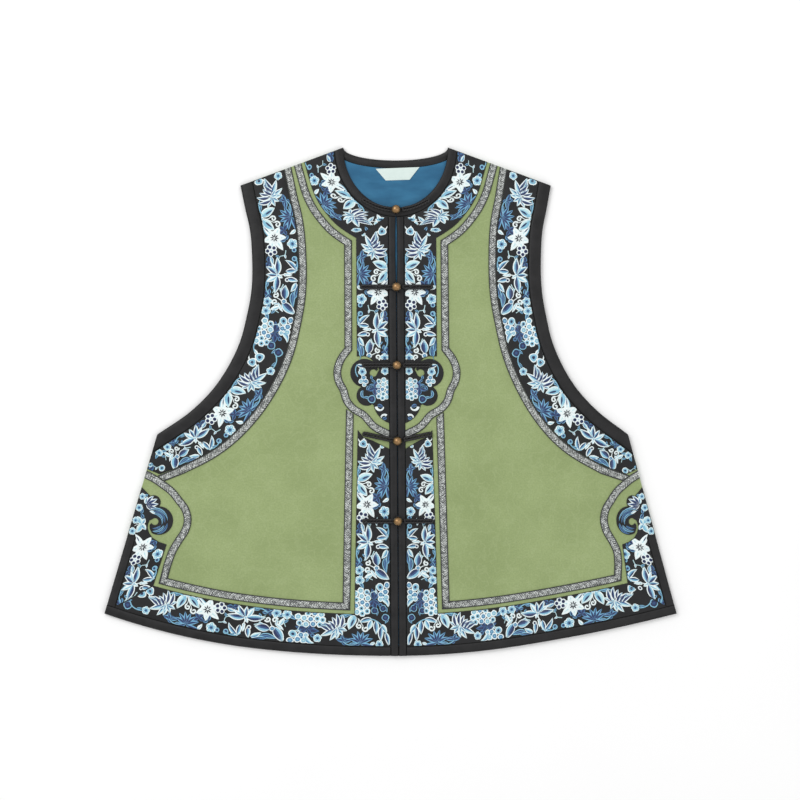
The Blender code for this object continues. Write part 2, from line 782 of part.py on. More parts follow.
def side_ribbons():
    """Make the ribbon up the side slit with its curled cloud head."""
    for letter, side in SIDES:
        lift = [0.0, MITRE_GAP]
        inner = hem_corner(side, SIDE_RIBBON, HEM_RIBBON) - lift
        outer = hem_corner(side, SIDE_BINDING + SEAM, HEM_BINDING + SEAM) - lift
        slit = [
            (seam_at(SLIT_DROP, SIDE_BINDING + SEAM), SLIT_DROP),
            (seam_at(SLIT_DROP, 0.0), SLIT_DROP),
            (seam_at(SIDE_CLOUD_START, 0.0), SIDE_CLOUD_START),
        ]
        lobes = [arc(*row) for row in SIDE_CLOUD]
        curl = [SIDE_CURL_INNER, arc(*SIDE_EYE, step=SIDE_EYE_STEP), SIDE_CURL_OUTER, [SIDE_CLOUD_POINT]]
        head = pulled(side, np.vstack([*lobes, *curl]))
        outline = on_side(side, inner, outer, slit, head)
        sheet(f"side_border_{letter}", "ribbon_satin", outline, RIBBON, True, RIBBON_GRID)


def armhole_ribbons():
    """Make the ribbon round the armhole, narrowing to the side."""
    for letter, side in SIDES:
        outer = armhole_to_seam(side, ARMHOLE_BINDING + SEAM)
        inner = armhole_line(side, ARMHOLE_RIBBON, ARMHOLE_NARROWING)
        end = (seam_at(ARMHOLE_RIBBON_END, 0.0), ARMHOLE_RIBBON_END)
        outline = on_side(side, outer, end, pulled(side, ARMHOLE_RIBBON_TIP), inner[::-1])
        sheet(f"armhole_border_{letter}", "ribbon_satin", outline, RIBBON, True, RIBBON_GRID)


# Braids


def braid(name, side, centre, first_line, last_line):
    """Make a braid along its centre line, ended on two lines."""
    inner = trimmed(offset(centre, -BRAID_HALF), first_line, last_line)
    outer = trimmed(offset(centre, BRAID_HALF), first_line, last_line)
    strip(name, "brocade_braid", side, inner, outer, BRAID, True)


def stepped(first, last, step):
    """Return points along a straight run, without its last point."""
    first = np.asarray(first, float)
    last = np.asarray(last, float)
    count = max(1, round(np.linalg.norm(last - first) / step))
    return first + (last - first) * (np.arange(count) / count)[:, None]


def armhole_braids():
    """Make the braid beside the armhole ribbon."""
    for letter, side in SIDES:
        centre = armhole_line(side, ARMHOLE_BRAID, ARMHOLE_NARROWING)
        centre = np.vstack([centre, pulled(side, ARMHOLE_BRAID_END)])
        stop = pulled(side, ARMHOLE_BRAID_STOP)
        braid(f"armhole_braid_{letter}", side, centre, SHOULDER_LINE, stop)


def front_braids():
    """Make the braid from the shoulder round the neck, down the chest and round the cloud."""
    for letter, side in SIDES:
        beside = CHEST_RIBBON + BRAID_FROM_RIBBON
        ribbon = spline(NECK_RIBBON, BRAID_STEP)
        neck = offset(ribbon, -np.linspace(BRAID_FROM_NECK_RIBBON, BRAID_FROM_RIBBON, len(ribbon)))
        neck = trimmed(neck, last_line=upright(beside))
        chest = stepped(neck[-1], CLOUD_BRAID[0], 2 * BRAID_STEP)[1:]
        centre = np.vstack([neck, chest, spline(CLOUD_BRAID, BRAID_STEP)])
        braid(f"front_braid_{letter}", side, centre, SHOULDER_LINE, upright(FRONT_BINDING + SEAM))


def panel_braids():
    """Make the braid down the skirt, along the hem and up round the side cloud."""
    for letter, side in SIDES:
        corner = skirt_corner(side, BRAID_FROM_RIBBON, HEM_BRAID)
        top = (skirt_edge(side, SKIRT_BRAID_TOP) + BRAID_FROM_RIBBON, SKIRT_BRAID_TOP)
        skirt = stepped(top, corner, 2 * BRAID_STEP)
        side_run = pulled(side, spline(SIDE_BRAID[::-1], BRAID_STEP))
        side_inset = SIDE_RIBBON + BRAID_FROM_RIBBON
        hem = hem_line(side, HEM_BRAID, corner[0], side_inset)
        centre = np.vstack([skirt, hem, side_run])
        braid(f"panel_braid_{letter}", side, centre, SKIRT_BRAID_START, SEAM_LINE)


# Closures


def frog_arm(side, row, share, across):
    """Return a point of a frog's arm, with a share of its reach and a distance across it."""
    drop, reach, rise, bend = row
    return (side * share * reach, drop - rise * share**bend + across)


def cord_loop(name, path):
    """Make a closed loop of cord from its flat path, lying on the layers below."""
    places = laid(path)
    headings = np.roll(places, -1, axis=0) - np.roll(places, 1, axis=0)
    headings /= np.linalg.norm(headings, axis=1)[:, None]
    normals = np.column_stack([-headings[:, 1], headings[:, 0]])
    base = relief(places) + FROG_BASE + CORD_RADIUS
    rings = []
    for place, normal, level in zip(places, normals, base):
        ring = []
        for number in range(CORD_SIDES):
            angle = 2 * math.pi * (number + 0.5) / CORD_SIDES
            flat = place + normal * CORD_RADIUS * math.cos(angle)
            ring.append((flat[0], flat[1], level + CORD_RADIUS * math.sin(angle)))
        rings.append(ring)
    return swept(name, "black_cord", rings, closed=True)


def end_turn(side, centre, turn):
    """Return the middle points of a cord's tight turn at an arm's end."""
    angles = np.radians(CORD_TURN_ANGLES)
    out = centre[0] + side * turn * CORD_TURN * np.cos(angles)
    drop = centre[1] + turn * CORD_SPACING * np.sin(angles)
    return np.column_stack([out, drop])


def arm_path(side, row, start):
    """Return an arm's two cords, out along the upper, round the end and back along the lower."""
    along = np.linspace(start / row[1], 1.0, ARM_POINTS)
    upper = [frog_arm(side, row, share, -CORD_SPACING) for share in along]
    lower = [frog_arm(side, row, share, CORD_SPACING) for share in along[::-1]]
    turn = end_turn(side, frog_arm(side, row, 1.0, 0.0), 1)
    return np.vstack([upper, turn, lower])


def frogs():
    """Make the five frog closures, a loop on the wearer's right and a knotted arm on the left."""
    angles = np.radians(np.linspace(*LOOP_ANGLES[::-1], LOOP_POINTS))
    for number, row in enumerate(FROGS, 1):
        ring = np.column_stack([LOOP_RADIUS * np.cos(angles), row[0] + LOOP_RADIUS * np.sin(angles)])
        cord_loop(f"frog_{number}_loop", np.vstack([arm_path(RIGHT, row, ARM_START), ring]))
        inner_end = frog_arm(LEFT, row, KNOT_START / row[1], 0.0)
        path = np.vstack([arm_path(LEFT, row, KNOT_START), end_turn(LEFT, inner_end, -1)])
        cord_loop(f"frog_{number}_knot", path)


def buttons():
    """Make the brass ball buttons, each on a stem that stands in its loop."""
    for number, row in enumerate(FROGS, 1):
        place = laid([(0.0, row[0])])
        level = FROG_BASE + relief(place)[0]
        reach = BALL_RADIUS + CORD_RADIUS + SEAM
        middle = level + CORD_RADIUS + math.sqrt(reach**2 - LOOP_RADIUS**2)
        lowest = -math.acos(STEM_RADIUS / BALL_RADIUS)
        angles = np.linspace(lowest, math.pi / 2, BALL_ROWS + 1)[:-1]
        profile = [(STEM_RADIUS, level)]
        profile += [(BALL_RADIUS * math.cos(a), middle + BALL_RADIUS * math.sin(a)) for a in angles]
        rings = []
        for radius, height in profile:
            turns = 2 * np.pi * np.arange(BALL_SEGMENTS) / BALL_SEGMENTS
            flat = place + radius * np.column_stack([np.cos(turns), np.sin(turns)])
            rings.append(np.column_stack([flat, np.full(BALL_SEGMENTS, height)]))
        ball = swept(f"button_{number}", "old_brass", rings)
        ball.data.shade_smooth()
        ball.data.set_sharp_from_angle(angle=math.radians(SHARP_ANGLE))


def make_materials():
    """Make one Principled material for each cloth, braid, cord and metal."""
    for name, (colour, roughness, metallic) in MATERIALS.items():
        material = bpy.data.materials.new(name)
        material.use_nodes = True
        shader = material.node_tree.nodes["Principled BSDF"]
        shader.inputs["Base Color"].default_value = (*colour, 1.0)
        shader.inputs["Roughness"].default_value = roughness
        shader.inputs["Metallic"].default_value = metallic


def main():
    """Build the waistcoat."""
    for thing in list(bpy.data.objects):
        bpy.data.objects.remove(thing)
    make_materials()
    back_pieces()
    front_panels()
    neck_label()
    neck_bindings()
    front_edge_bindings()
    armhole_bindings()
    hem_and_side_bindings()
    neck_ribbons()
    chest_ribbons()
    skirt_ribbons()
    hem_ribbons()
    side_ribbons()
    armhole_ribbons()
    armhole_braids()
    front_braids()
    panel_braids()
    frogs()
    buttons()


main()
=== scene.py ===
"""Looks of the embroidered waistcoat laid flat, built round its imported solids.

Pieces are drawn in cut coordinates, in millimetres: "out" is the distance from the front
opening, negative on the wearer's right, and "drop" is the distance down from the neck point.
The function laid puts those coordinates on the table.
"""

import math

import bpy
import numpy as np
from mathutils.geometry import delaunay_2d_cdt
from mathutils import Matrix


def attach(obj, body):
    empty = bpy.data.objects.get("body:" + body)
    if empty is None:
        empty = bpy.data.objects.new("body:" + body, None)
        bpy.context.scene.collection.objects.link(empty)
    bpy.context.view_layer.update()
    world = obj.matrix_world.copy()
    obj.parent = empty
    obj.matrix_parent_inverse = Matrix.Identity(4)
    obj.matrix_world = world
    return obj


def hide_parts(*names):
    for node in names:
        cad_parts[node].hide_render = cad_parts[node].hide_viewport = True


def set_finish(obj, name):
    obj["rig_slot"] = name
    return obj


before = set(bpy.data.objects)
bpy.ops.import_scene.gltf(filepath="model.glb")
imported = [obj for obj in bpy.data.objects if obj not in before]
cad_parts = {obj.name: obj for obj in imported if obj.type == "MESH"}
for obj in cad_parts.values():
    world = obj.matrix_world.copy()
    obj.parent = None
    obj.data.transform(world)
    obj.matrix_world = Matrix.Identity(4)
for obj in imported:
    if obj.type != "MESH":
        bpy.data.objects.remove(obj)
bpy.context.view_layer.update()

MM = 0.001
RIGHT = -1
LEFT = 1
SIDES = (("R", RIGHT), ("L", LEFT))

# Cut of the garment
LENGTH = 661
NECK_HALF = 68
FRONT_NECK_DROP = 78
BACK_NECK_DROP = 16.5
SHOULDER_HALF = 201.8
SHOULDER_DROP = 49.5
UNDERARM_HALF = 306
UNDERARM_DROP = 373
CORNER_HALF = 372
CORNER_DROP = 606
SLIT_DROP = 506
HEM_POWER = {RIGHT: 2.35, LEFT: 1.75}

# Armhole edge from shoulder to underarm: out, drop
ARMHOLE = (
    (SHOULDER_HALF, SHOULDER_DROP), (196, 80), (190.5, 106), (188, 140), (189.5, 190), (195, 220),
    (203, 252), (216, 281.5), (236, 313), (262, 340.5), (UNDERARM_HALF, UNDERARM_DROP),
)

# How far each armhole lies in from the cut, at the middle of its edge
ARMHOLE_SHIFT = {RIGHT: 2.8, LEFT: -2.6}

# How the garment was laid: its outline leans a little and the opening stays nearly upright
LEAN_AT_NECK = 7.2
OPENING_AT_NECK = 6.6
OPENING_AT_HEM = 10.7
LEAN_FROM = 70
LEAN_OVER = 160

# Widths of the trimmings
SEAM = 0.3
NECK_BINDING = 12
NECK_FACING = 10
FRONT_BINDING = 10.4
ARMHOLE_BINDING = 16.5
HEM_BINDING = 12
SIDE_BINDING = 11
BRAID_HALF = 5
BRAID_FROM_RIBBON = 10.6
BRAID_FROM_NECK_RIBBON = 9.2
SLIT_OF_OPENING = 0.3
MITRE_GAP = 0.05
# Where the ribbons start, out from the opening
START = FRONT_BINDING + SEAM

# Ribbon down the chest and the skirt: its outer edge, out from the opening
CHEST_RIBBON = 52
CHEST_RIBBON_END = 271.5
SKIRT_RIBBON_TOP = 48.5
SKIRT_RIBBON_HEM = 54.3
SKIRT_RIBBON_SHIFT = 3
SKIRT_POINT_DROP = 367

# Outer edge of the ribbon round the neck, from shoulder to chest: out, drop
NECK_RIBBON = (
    (119, 18.6), (113.8, 37), (108, 56), (99.5, 73.5), (89, 88), (77.4, 100.5), (64.5, 110),
    (CHEST_RIBBON, 117.7),
)

# Scallops of the cloud head on the chest: centre out, centre drop, radius, first angle, last angle
CHEST_CLOUD = (
    (42.1, 293.2, 18.5, 128, -73), (39.5, 322.5, 13.2, 56, -122), (1, 329.5, 30.2, -10, -71),
)
# Fall of the cloud head's lower edge to the front binding
CHEST_CLOUD_FALL = 1
# Notch between the chest ribbon and its cloud head: out, drop
CHEST_NOTCH = ((41, CHEST_RIBBON_END), (34.6, 274))
CHEST_EYE = (30.7, 293.2, 4.8, 150, -150)
# Tail of the eye of the chest cloud: out, drop
CHEST_EYE_TAIL = (
    (25, 292.2), (23, 288.6), (24.4, 285.4), (25.6, 286.2), (24.8, 288.4), (26.6, 290.4),
)

# Top edge of the skirt ribbon, from its point to the opening: out, drop
SKIRT_RIBBON_EDGE = ((41.5, 376.5), (30, 381), (17, 388))
SKIRT_RIBBON_INNER_DROP = 391.5

# Ribbons along the hem and up the side
HEM_RIBBON = 54
SIDE_RIBBON = 51
HEM_BRAID = 63.5
SIDE_CLOUD_START = 441.4
# The wearer's left side trimmings lie nearer the seam, down to the pointed corner of the ribbon
SIDE_PULL = {RIGHT: 0, LEFT: 0.15}
PULL_FADE = 52
SIDE_CLOUD_POINT = (292, 516)
# Scallops of the side cloud head: centre out, centre drop, radius, first angle, last angle
SIDE_CLOUD = ((309.5, 461, 9, 62, 214), (302.5, 485, 18.5, 92, 300))
SIDE_EYE = (307.6, 486.2, 4.6, -58, -318)
# Inner and outer sides of the curling cut in the side cloud: out, drop
SIDE_CURL_INNER = ((314.6, 494.7), (314.4, 490.6), (312.4, 488.2))
SIDE_CURL_OUTER = (
    (314.6, 484.6), (316.6, 489.6), (317, 494.7), (315, 501), (310.4, 507.4), (302, 512.6),
)

# Armhole ribbon: its reach from the edge, how much it narrows, and its end at the side seam
ARMHOLE_RIBBON = 59.2
ARMHOLE_BRAID = 64.5
ARMHOLE_NARROWING = 10
NARROWING_FROM = 0.8
NARROWING_OVER = 0.3
ARMHOLE_RIBBON_TIP = (302, 424.6)
ARMHOLE_RIBBON_END = 418

# Centre of the braid round the chest cloud, down to the opening: out, drop
CLOUD_BRAID = (
    (63, 262), (73, 276), (77.5, 291), (76, 303), (69.5, 316), (66, 328), (57, 339.5), (44, 347.5),
    (31, 362), (11, 373),
)
# Centre of the braid round the side cloud, from the seam to the hem braid: out, drop
SIDE_BRAID = (
    (321, 424.5), (308.5, 431), (297.5, 438.5), (287, 446.5), (277, 458.5), (268, 471),
    (265, 484.5), (268, 497.5), (276.5, 511), (284, 524), (290.5, 542),
)
# End of the armhole braid, and the lines where one braid stops short of another: out, drop
ARMHOLE_BRAID_END = (295.5, 428.3)
ARMHOLE_BRAID_STOP = ((305.5, 426), (294.5, 433.8))
SKIRT_BRAID_START = ((65.5, 340.6), (52, 350.2))
SKIRT_BRAID_TOP = 345

# Neck label, as it lies: out, drop
LABEL = ((-26.1, 27.4), (30.9, 25.2), (17.9, 41.6), (-13.1, 42.6))

# Frog closures: drop of the button, reach of the arm, rise of the arm's end, bend of the arm
FROGS = (
    (81, 41, 12, 2), (181.5, 44, 0, 1), (283, 42, 0, 1), (381.5, 42, 9, 1), (485.5, 43, 0, 1),
)
CORD_RADIUS = 1.6
CORD_SPACING = 1.75
CORD_TURN = 2.3
CORD_TURN_ANGLES = (-40, 0, 40)
LOOP_RADIUS = 4.7
LOOP_ANGLES = (222, 498)
ARM_START = 5.9
KNOT_START = 10.7
BALL_RADIUS = 5.75
STEM_RADIUS = 1.6

# Heights of the layers: low and high faces
SHELL = (0, 1.6)
LINING = (1.9, 2.9)
BACK_EDGE = (0, 2.9)
LABEL_LAYER = (3.2, 4.2)
FRONT = (3.2, 5.2)
FRONT_EDGE = (3.2, 6.2)
RIBBON = (5.5, 6.5)
BRAID = (5.5, 6.8)
FROG_BASE = 7.1

# Soft swells and folds of the front: x, y, long reach, short reach, turn in degrees, rise
SWELLS = (
    (-135, -55, 175, 105, 90, 3.2), (145, -60, 175, 105, 90, 3.2), (-98, -190, 110, 36, 84, 0.8),
    (-238, -125, 105, 37, 62, 0.8), (-108, 130, 90, 36, 97, 0.6), (112, -175, 115, 36, 97, 0.8),
    (242, -130, 105, 37, 118, 0.7), (122, 125, 95, 36, 82, 0.6),
)

# Fine waves in the front's cloth: wavelength, turn in degrees, rise, phase
WAVES = (
    (97, 100, 0.16, 5), (61, 20, 0.13, 0.3), (37, 75, 0.07, 1.9), (23, 130, 0.03, 4),
)

# How far a wave wanders to its side, and over how many wavelengths
WANDER = 1.4
WANDER_LENGTHS = 2.7

# How far each front edge lies open between the first two buttons
GAPE = 0.9
GAPE_POWER = 0.6

# Spacing of the points
PANEL_GRID = 6
RIBBON_GRID = 5
BACK_GRID = 11
LABEL_GRID = 3
BRAID_STEP = 4
ARMHOLE_STEP = 6.5
NECK_STEPS = 26
SIDE_POINTS = 24
HEM_STEP = 8
LEAST_STEP = 3
ARC_STEP = 10
SIDE_EYE_STEP = 20
ARM_POINTS = 5
LOOP_POINTS = 11
CORD_POINTS = 150
CORD_STEPS = 12
CORD_SIDES = 12
BALL_SEGMENTS = 36
BALL_ROWS = 22
# Seam round a ball button: depth, and reach as an angle
BALL_GROOVE = (0.16, 0.05)
# Flat crown of a ball button: radius, and rise over the ball
BALL_CROWN = (0.35, 0.02)
# How far a button's stem reaches past the middle of the gap under the ball
STEM_PAST = 0.4

# Staggered points inside a piece: row height and clearances, as shares of the spacing
GRID_ROW = 0.87
GRID_STAGGER = 0.5
GRID_FROM_EDGE = 0.5
GRID_FROM_HOLE = 0.45
# Points nearer than this are one point
SAME_POINT = 1e-6
# Rounds that settle where two edges meet
MEETING_ROUNDS = 6
SHARP_ANGLE = 55

# How far a piece's edge rolls down, and over what width
EDGE_ROLL = 0.45
ROLL_WIDTH = 1.3

# Cross sections: share of the width, share of the height
FLAT_SECTION = ((0, 0), (1, 0), (1, 0.8), (0.93, 1), (0.5, 1), (0.07, 1), (0, 0.8))
ROLLED_SECTION = (
    (0, 0), (1, 0), (1, 0.5), (0.95, 0.76), (0.8, 0.94), (0.5, 1), (0.2, 0.94), (0.05, 0.76),
    (0, 0.5),
)
BRAID_SECTION = (
    (0, 0), (1, 0), (1, 0.6), (0.94, 0.95), (0.84, 0.9), (0.67, 1), (0.5, 0.86), (0.33, 1),
    (0.16, 0.9), (0.06, 0.95), (0, 0.6),
)

# Thread colours, as shown on a screen
WHITE = (0.955, 1.0, 1.0)
PALE = (0.78, 0.92, 0.94)
SKY = (0.54, 0.77, 0.87)
BLUE = (0.33, 0.54, 0.71)
DEEP = (0.19, 0.32, 0.52)
NAVY = (0.10, 0.165, 0.34)
INK = (0.10, 0.12, 0.17)
LEAF_EDGE = (0.47, 0.71, 0.85)

# Looks of a petal: rim, one side, middle, other side, tip. A round shape uses rim, ring, middle.
LOOKS = {
    "crown": (WHITE, DEEP, SKY, PALE, PALE),
    "crescent": (WHITE, NAVY, NAVY, DEEP, SKY),
    "inner": (WHITE, DEEP, SKY, SKY, PALE),
    "white": (WHITE, SKY, PALE, WHITE, WHITE),
    "star": (WHITE, WHITE, PALE, WHITE, WHITE),
    "heart": (WHITE, WHITE, WHITE, WHITE, WHITE),
    "bloom": (WHITE, SKY, PALE, SKY, PALE),
    "spot": (BLUE, NAVY, INK, INK, INK),
    "wing": (WHITE, PALE, SKY, SKY, PALE),
    "spindle": (DEEP, NAVY, NAVY, NAVY, DEEP),
    "orchid": (WHITE, NAVY, DEEP, SKY, PALE),
    "bell": (WHITE, NAVY, BLUE, SKY, PALE),
    "leaf": (LEAF_EDGE, NAVY, NAVY, DEEP, DEEP),
    "blue": (SKY, DEEP, BLUE, NAVY, BLUE),
    "navy": (BLUE, NAVY, NAVY, DEEP, DEEP),
    "pale": (WHITE, BLUE, SKY, PALE, PALE),
    "plum": (WHITE, NAVY, NAVY, NAVY, NAVY),
    "bud": (WHITE, SKY, NAVY, NAVY, NAVY),
    "deep_bud": (SKY, NAVY, DEEP, DEEP, DEEP),
    "blue_bud": (SKY, DEEP, NAVY, NAVY, NAVY),
    "floret": (WHITE, SKY, PALE, PALE, PALE),
    "eye": (INK, INK, INK, INK, INK),
}

# Embroidery: widths and heights of the stitches
RIM = 1.25
LEAST_FILL = 0.42
FILL_PARTS = (-0.25, 0.3)
WIDEN = 1.3
MOTIF_SIZE = 1.09
ARMHOLE_RUN_ON = 34
# How far the leafy branch reaches past the mitre's inner corner: out and drop, and its width there
CORNER_REACH = (2, 13)
CORNER_WIDTH = 14
# How far the branch's ground ends above the mitre's outer corner: under the leaves, at the edge
CORNER_RISE = 3
MITRE_RISE = 1
RIM_RISE = 0.42
FILL_RISE = 0.35
SUNK = -0.12
SHAPE_LIFT = 0.03
UNDERLAY = -0.14
UNDER = ("navy_patch", "rose_leaves")
RIBBON_WIDTH = 41.7
REPEAT_LENGTH = 250
PETAL_STATIONS = 9
DISC_STEPS = 14
BLUNT_POWER = 0.85
POINTED_POWER = 0.8
# Swell of a petal's stitches at its ends, and where its tip's colour starts
END_SWELL = 0.35
SWELL_WITHIN = (0.04, 0.96)
TIP_FROM = 0.55
LEAST_HALF = 0.05
# Round shapes: least filling, width and rise of the middle
LEAST_DISC_FILL = 0.4
DISC_MIDDLE = 0.45
DISC_RISE = 1.1
# A butterfly's feeler: points, how far it winds in, width, end's width
FEELER = (15, 0.8, 2, 0.8)
STEM_STEP = 2
STEM_END = 0.7
STITCH_MARGIN = 0.7
HOLD_ROUNDS = 7
STITCH_SHIFT = 0.37
RUN_PAST = 8
# Reach along the ribbon that gives a motif's heading
HEADING_REACH = 2
EDGE_POINTS = 120
SHORT_EDGE_POINTS = 60
# Ends of a repeat that runs the whole ribbon
NO_START = -99
NO_END = 999
LOTUS_HEART = (5, 0.5)
# Florets of a cluster: radius, turn from one to the next, radius of a dark eye, and which have one
FLORET_RADIUS = 3.7
FLORET_TURN = 1.3
FLORET_EYE = 1.5
DARK_FLORETS = (0, 3, 7, 9, 12)
# Places of the florets
FLORETS = (
    (-10, -5.4), (-3.2, -6.6), (4.2, -5.8), (11.4, -5.8), (-11.8, 1.6), (-5.4, 0.4), (1.4, -0.4),
    (8.2, 0.6), (-8.4, 7.4), (-1.6, 6.2), (5.2, 6.6), (12.2, 5.6), (14, -0.4),
)

# One repeat of the ribbon's embroidery: motif, along from the lotus, across, size, turn in degrees
REPEAT = (
    ("navy_patch", 13, 7, 0.8, 20), ("navy_patch", 51, 15.5, 0.9, 60),
    ("navy_patch", 92, 37.5, 0.8, 30), ("navy_patch", 137.5, 38, 0.7, 0),
    ("rose_leaves", 184, 19.5, 1, 0), ("edge_arc", 17.5, 39, 0.95, 180),
    ("edge_arc", 45, 39, 0.8, 180), ("edge_arc", 24, 2.8, 0.8, 0), ("edge_arc", 96, 2.6, 0.8, 0),
    ("edge_arc", 123, 39, 0.9, 180), ("tendril", 127, 25, 0.9, 60),
    ("tendril", 151, 26.5, 0.95, -30), ("tendril", 173.5, 20, 0.9, 40),
    ("tendril", 198, 29, 0.9, 80), ("edge_arc", 205, 39, 0.8, 180), ("edge_arc", 222, 8, 0.9, 0),
    ("blossom", 232, 8.5, 0.9, 0), ("tendril", 84, 20, 0.85, 50), ("lotus", 0, 22.5, 1, 0),
    ("bud", -19, 34, 1, 0), ("leaf_pair", 15, 6, 1, 0), ("leaf_spray", 36, 5.8, 1, 0),
    ("butterfly", 32.5, 33.5, 1, 0), ("petal_bit", 55, 5.5, 1, 10), ("blossom", 69, 6.5, 1.15, 0),
    ("blue_leaf", 63.5, 14.5, 0.8, 60), ("bud_small", 77, 5, 1, 0), ("star", 60, 28.5, 1, 0),
    ("plum", 76.5, 33.5, 1, 0), ("pale_leaf", 90, 33.5, 0.75, -15), ("bud_small", 88, 5, 1.15, 0),
    ("bell", 108, 9.5, 1, 0), ("orchid", 109, 25.5, 1, 0), ("arc_leaf", 133.5, 3.2, 1, 6),
    ("butterfly_long", 141, 15, 1, 0), ("blue_leaf", 135, 35, 0.8, 20),
    ("blossom", 145.5, 36.5, 1, 20), ("blossom_leafy", 158.5, 36, 1.05, 0),
    ("twin_lobes", 166, 8.5, 1, 0), ("peony", 177.5, 8, 1, 0), ("curl_leaf", 190, 8, 1, 0),
    ("blue_bud", 207.5, 8.5, 1, 0), ("blue_bud", 201.5, 19.5, 0.95, 40),
    ("hydrangea", 185.5, 33, 1.06, 0), ("stemmed_bud", 221, 28, 1, 0),
)

# Where each ribbon's embroidery starts: drop of its top, and its first lotus along it
ARMHOLE_LOTUS = 22.6
NECK_LOTUS = 25
CHEST_TOP = 92
CHEST_LOTUS = 36
SKIRT_TOP = 375
SKIRT_LOTUS = 29
SKIRT_REPEAT_END = 226
HEM_LOTUS_FROM_OPENING = 290
HEM_SECOND_FROM_OPENING = 75
HEM_BREAK = 18
HEM_REPEAT_END = 26
CHEST_REPEAT_END = 187
CHEST_REPEAT_PAST = 3
SIDE_LOTUS_DROP = 462
SIDE_REPEAT_START = 46

# Leaves in the corner of the skirt ribbon and of the hem ribbon: motif, out, drop, size, turn
SKIRT_CORNER = (
    ("corner_spray", 32, 619, 1, 0), ("blue_bud", 17, 611, 0.95, 20),
    ("blue_bud", 20, 599, 0.9, 70), ("blue_bud", 31, 602, 0.9, 50),
)
HEM_CORNER = (("blossom", 25, 645.5, 0.95, 0), ("petal_bit", 35, 645.5, 0.9, -20))
# Small shapes where the neck ribbon meets the front edge: motif, out, drop, size, turn
NECK_END = (
    ("blossom", 23.5, 101.5, 1.1, 10), ("pale_leaf", 33, 93.5, 0.85, -140),
    ("bud_small", 14.5, 100.5, 1.1, 0), ("blue_leaf", 37, 108.5, 0.8, 150),
    ("bud_small", 18, 110.5, 0.9, 0),
)

# Embroidery of the chest cloud: motif, out, drop, size, turn in degrees
CHEST_HEAD = (
    ("navy_patch", 29.5, 313, 1.1, 100), ("hydrangea", 18.6, 313, 0.92, 90),
    ("blossom", 15.5, 290.5, 0.95, 0), ("round_bud", 33, 327, 1, 0), ("hook", 22.5, 337, 0.95, 160),
    ("hook", 17, 351, 0.8, 20), ("cloud_petal", 45, 289, 1, 90), ("blossom", 45, 291.5, 1, 0),
    ("peony", 43, 303, 0.9, 60), ("blue_leaf", 36, 309.5, 0.8, 40),
    ("dark_hook", 43, 321.5, 0.9, 60), ("blue_leaf", 33, 301.5, 0.7, 120),
)
# Embroidery of the side cloud: motif, distance from the seam, drop, size, turn in degrees
SIDE_HEAD = (
    ("small_lotus", 17.5, 461.5, 1, 200), ("petal_bit", 22, 473.5, 0.9, -70),
    ("blossom_leafy", 4.5, 453.5, 0.8, 0), ("blue_leaf", 9.5, 476, 0.85, 100),
    ("blossom", 4.5, 468, 0.9, 0), ("butterfly_small", 13.5, 489.5, 1, 90),
    ("blossom_leafy", 4.8, 484.5, 0.85, 0), ("blossom", 4.6, 498.5, 0.9, 30),
)
# Feathery strokes in the curl of the side cloud: radius from its eye, first angle, last angle, width
SIDE_FEATHERS = (
    (16.6, 60, 178, 2.6, "blue"), (13, 70, 190, 2.8, "navy"), (9.8, 80, 205, 2.4, "blue"),
    (16.4, 186, 262, 2.6, "navy"), (12.8, 200, 285, 2.8, "blue"), (9.2, 214, 292, 2.2, "navy"),
)

# Picture of the garment: the camera looks straight down
LENS = 100
SENSOR = 36
VIEW_CENTRE = (0.01235, 0.00228)
VIEW_WIDTH = 1.04
LOOK_LEVEL = 0.006

# Silk colours, as shown on a screen
SILK_DARK = (0.545, 0.61, 0.395)
SILK_LIGHT = (0.60, 0.665, 0.45)
SILK_FIGURE = (0.645, 0.705, 0.50)
SILK_SHADOW = (0.46, 0.525, 0.33)

# Colours of the other cloths, the cord and the brass, as shown on a screen: dark, light
SATIN_TONES = ((0.085, 0.085, 0.09), (0.13, 0.128, 0.133))
RIBBON_TONES = ((0.075, 0.078, 0.085), (0.12, 0.122, 0.13))
LINING_TONES = ((0.135, 0.36, 0.50), (0.20, 0.45, 0.595))
BRAID_TONES = ((0.12, 0.13, 0.135), (0.89, 0.91, 0.895))
BRAID_EDGE_TONES = ((0.07, 0.075, 0.08), (0.25, 0.26, 0.27))
# The cord's dark and light tones are painted shade in the twist's grooves and a painted highlight on its
# ridges
CORD_TWIST_SHADE_TONES = ((0.05, 0.05, 0.05), (0.15, 0.145, 0.15))
# The brass's dark tone serves both its wear and the painted shade low down on each ball
BRASS_WEAR_AND_SHADE_TONES = ((0.26, 0.19, 0.13), (0.68, 0.54, 0.38))
LABEL_TONES = ((0.80, 0.865, 0.845), (0.86, 0.915, 0.895))
LABEL_THREAD = (0.84, 0.88, 0.88)

# Spacing of the threads, ribs and twists in metres
SILK_PITCH = 0.0008
SATIN_PITCH = 0.0007
RIBBON_PITCH = 0.0006
LINING_PITCH = 0.0006
LABEL_PITCH = 0.0007
STITCH_PITCH = 0.0006
CORD_PITCH = 0.0021
BRAID_PITCH = 0.0031
BRAID_EDGE_PITCH = 0.0024
# Where the braid turns into its dark edge, in metres from its middle
BRAID_EDGE = (0.0033, 0.0040)
# Heights over which the painted shade on a button's brass lifts, darker low down, in metres
BRASS_SHADE = (0.001, 0.009)
# Range that most of a noise lies in
NOISE_RANGE = (0.3, 0.7)

# Flat cut sizes in metres
BACK_FLAT = (0.744, 0.661)
FRONT_FLAT = (0.372, 0.661)
LABEL_FLAT = (0.057, 0.018)

# Floor and light: place, size in metres, power
FLOOR_SIZE = 8
FLOOR_DARK = (0.97, 0.97, 0.97)
FLOOR_LIGHT = (0.985, 0.985, 0.985)
SKY_STRENGTH = 0.78
LIGHTS = {
    "key": ((-1.3, 1.2, 2.2), 1.4, 26),
    "fill": ((1.5, -0.6, 2.4), 1.6, 9),
}


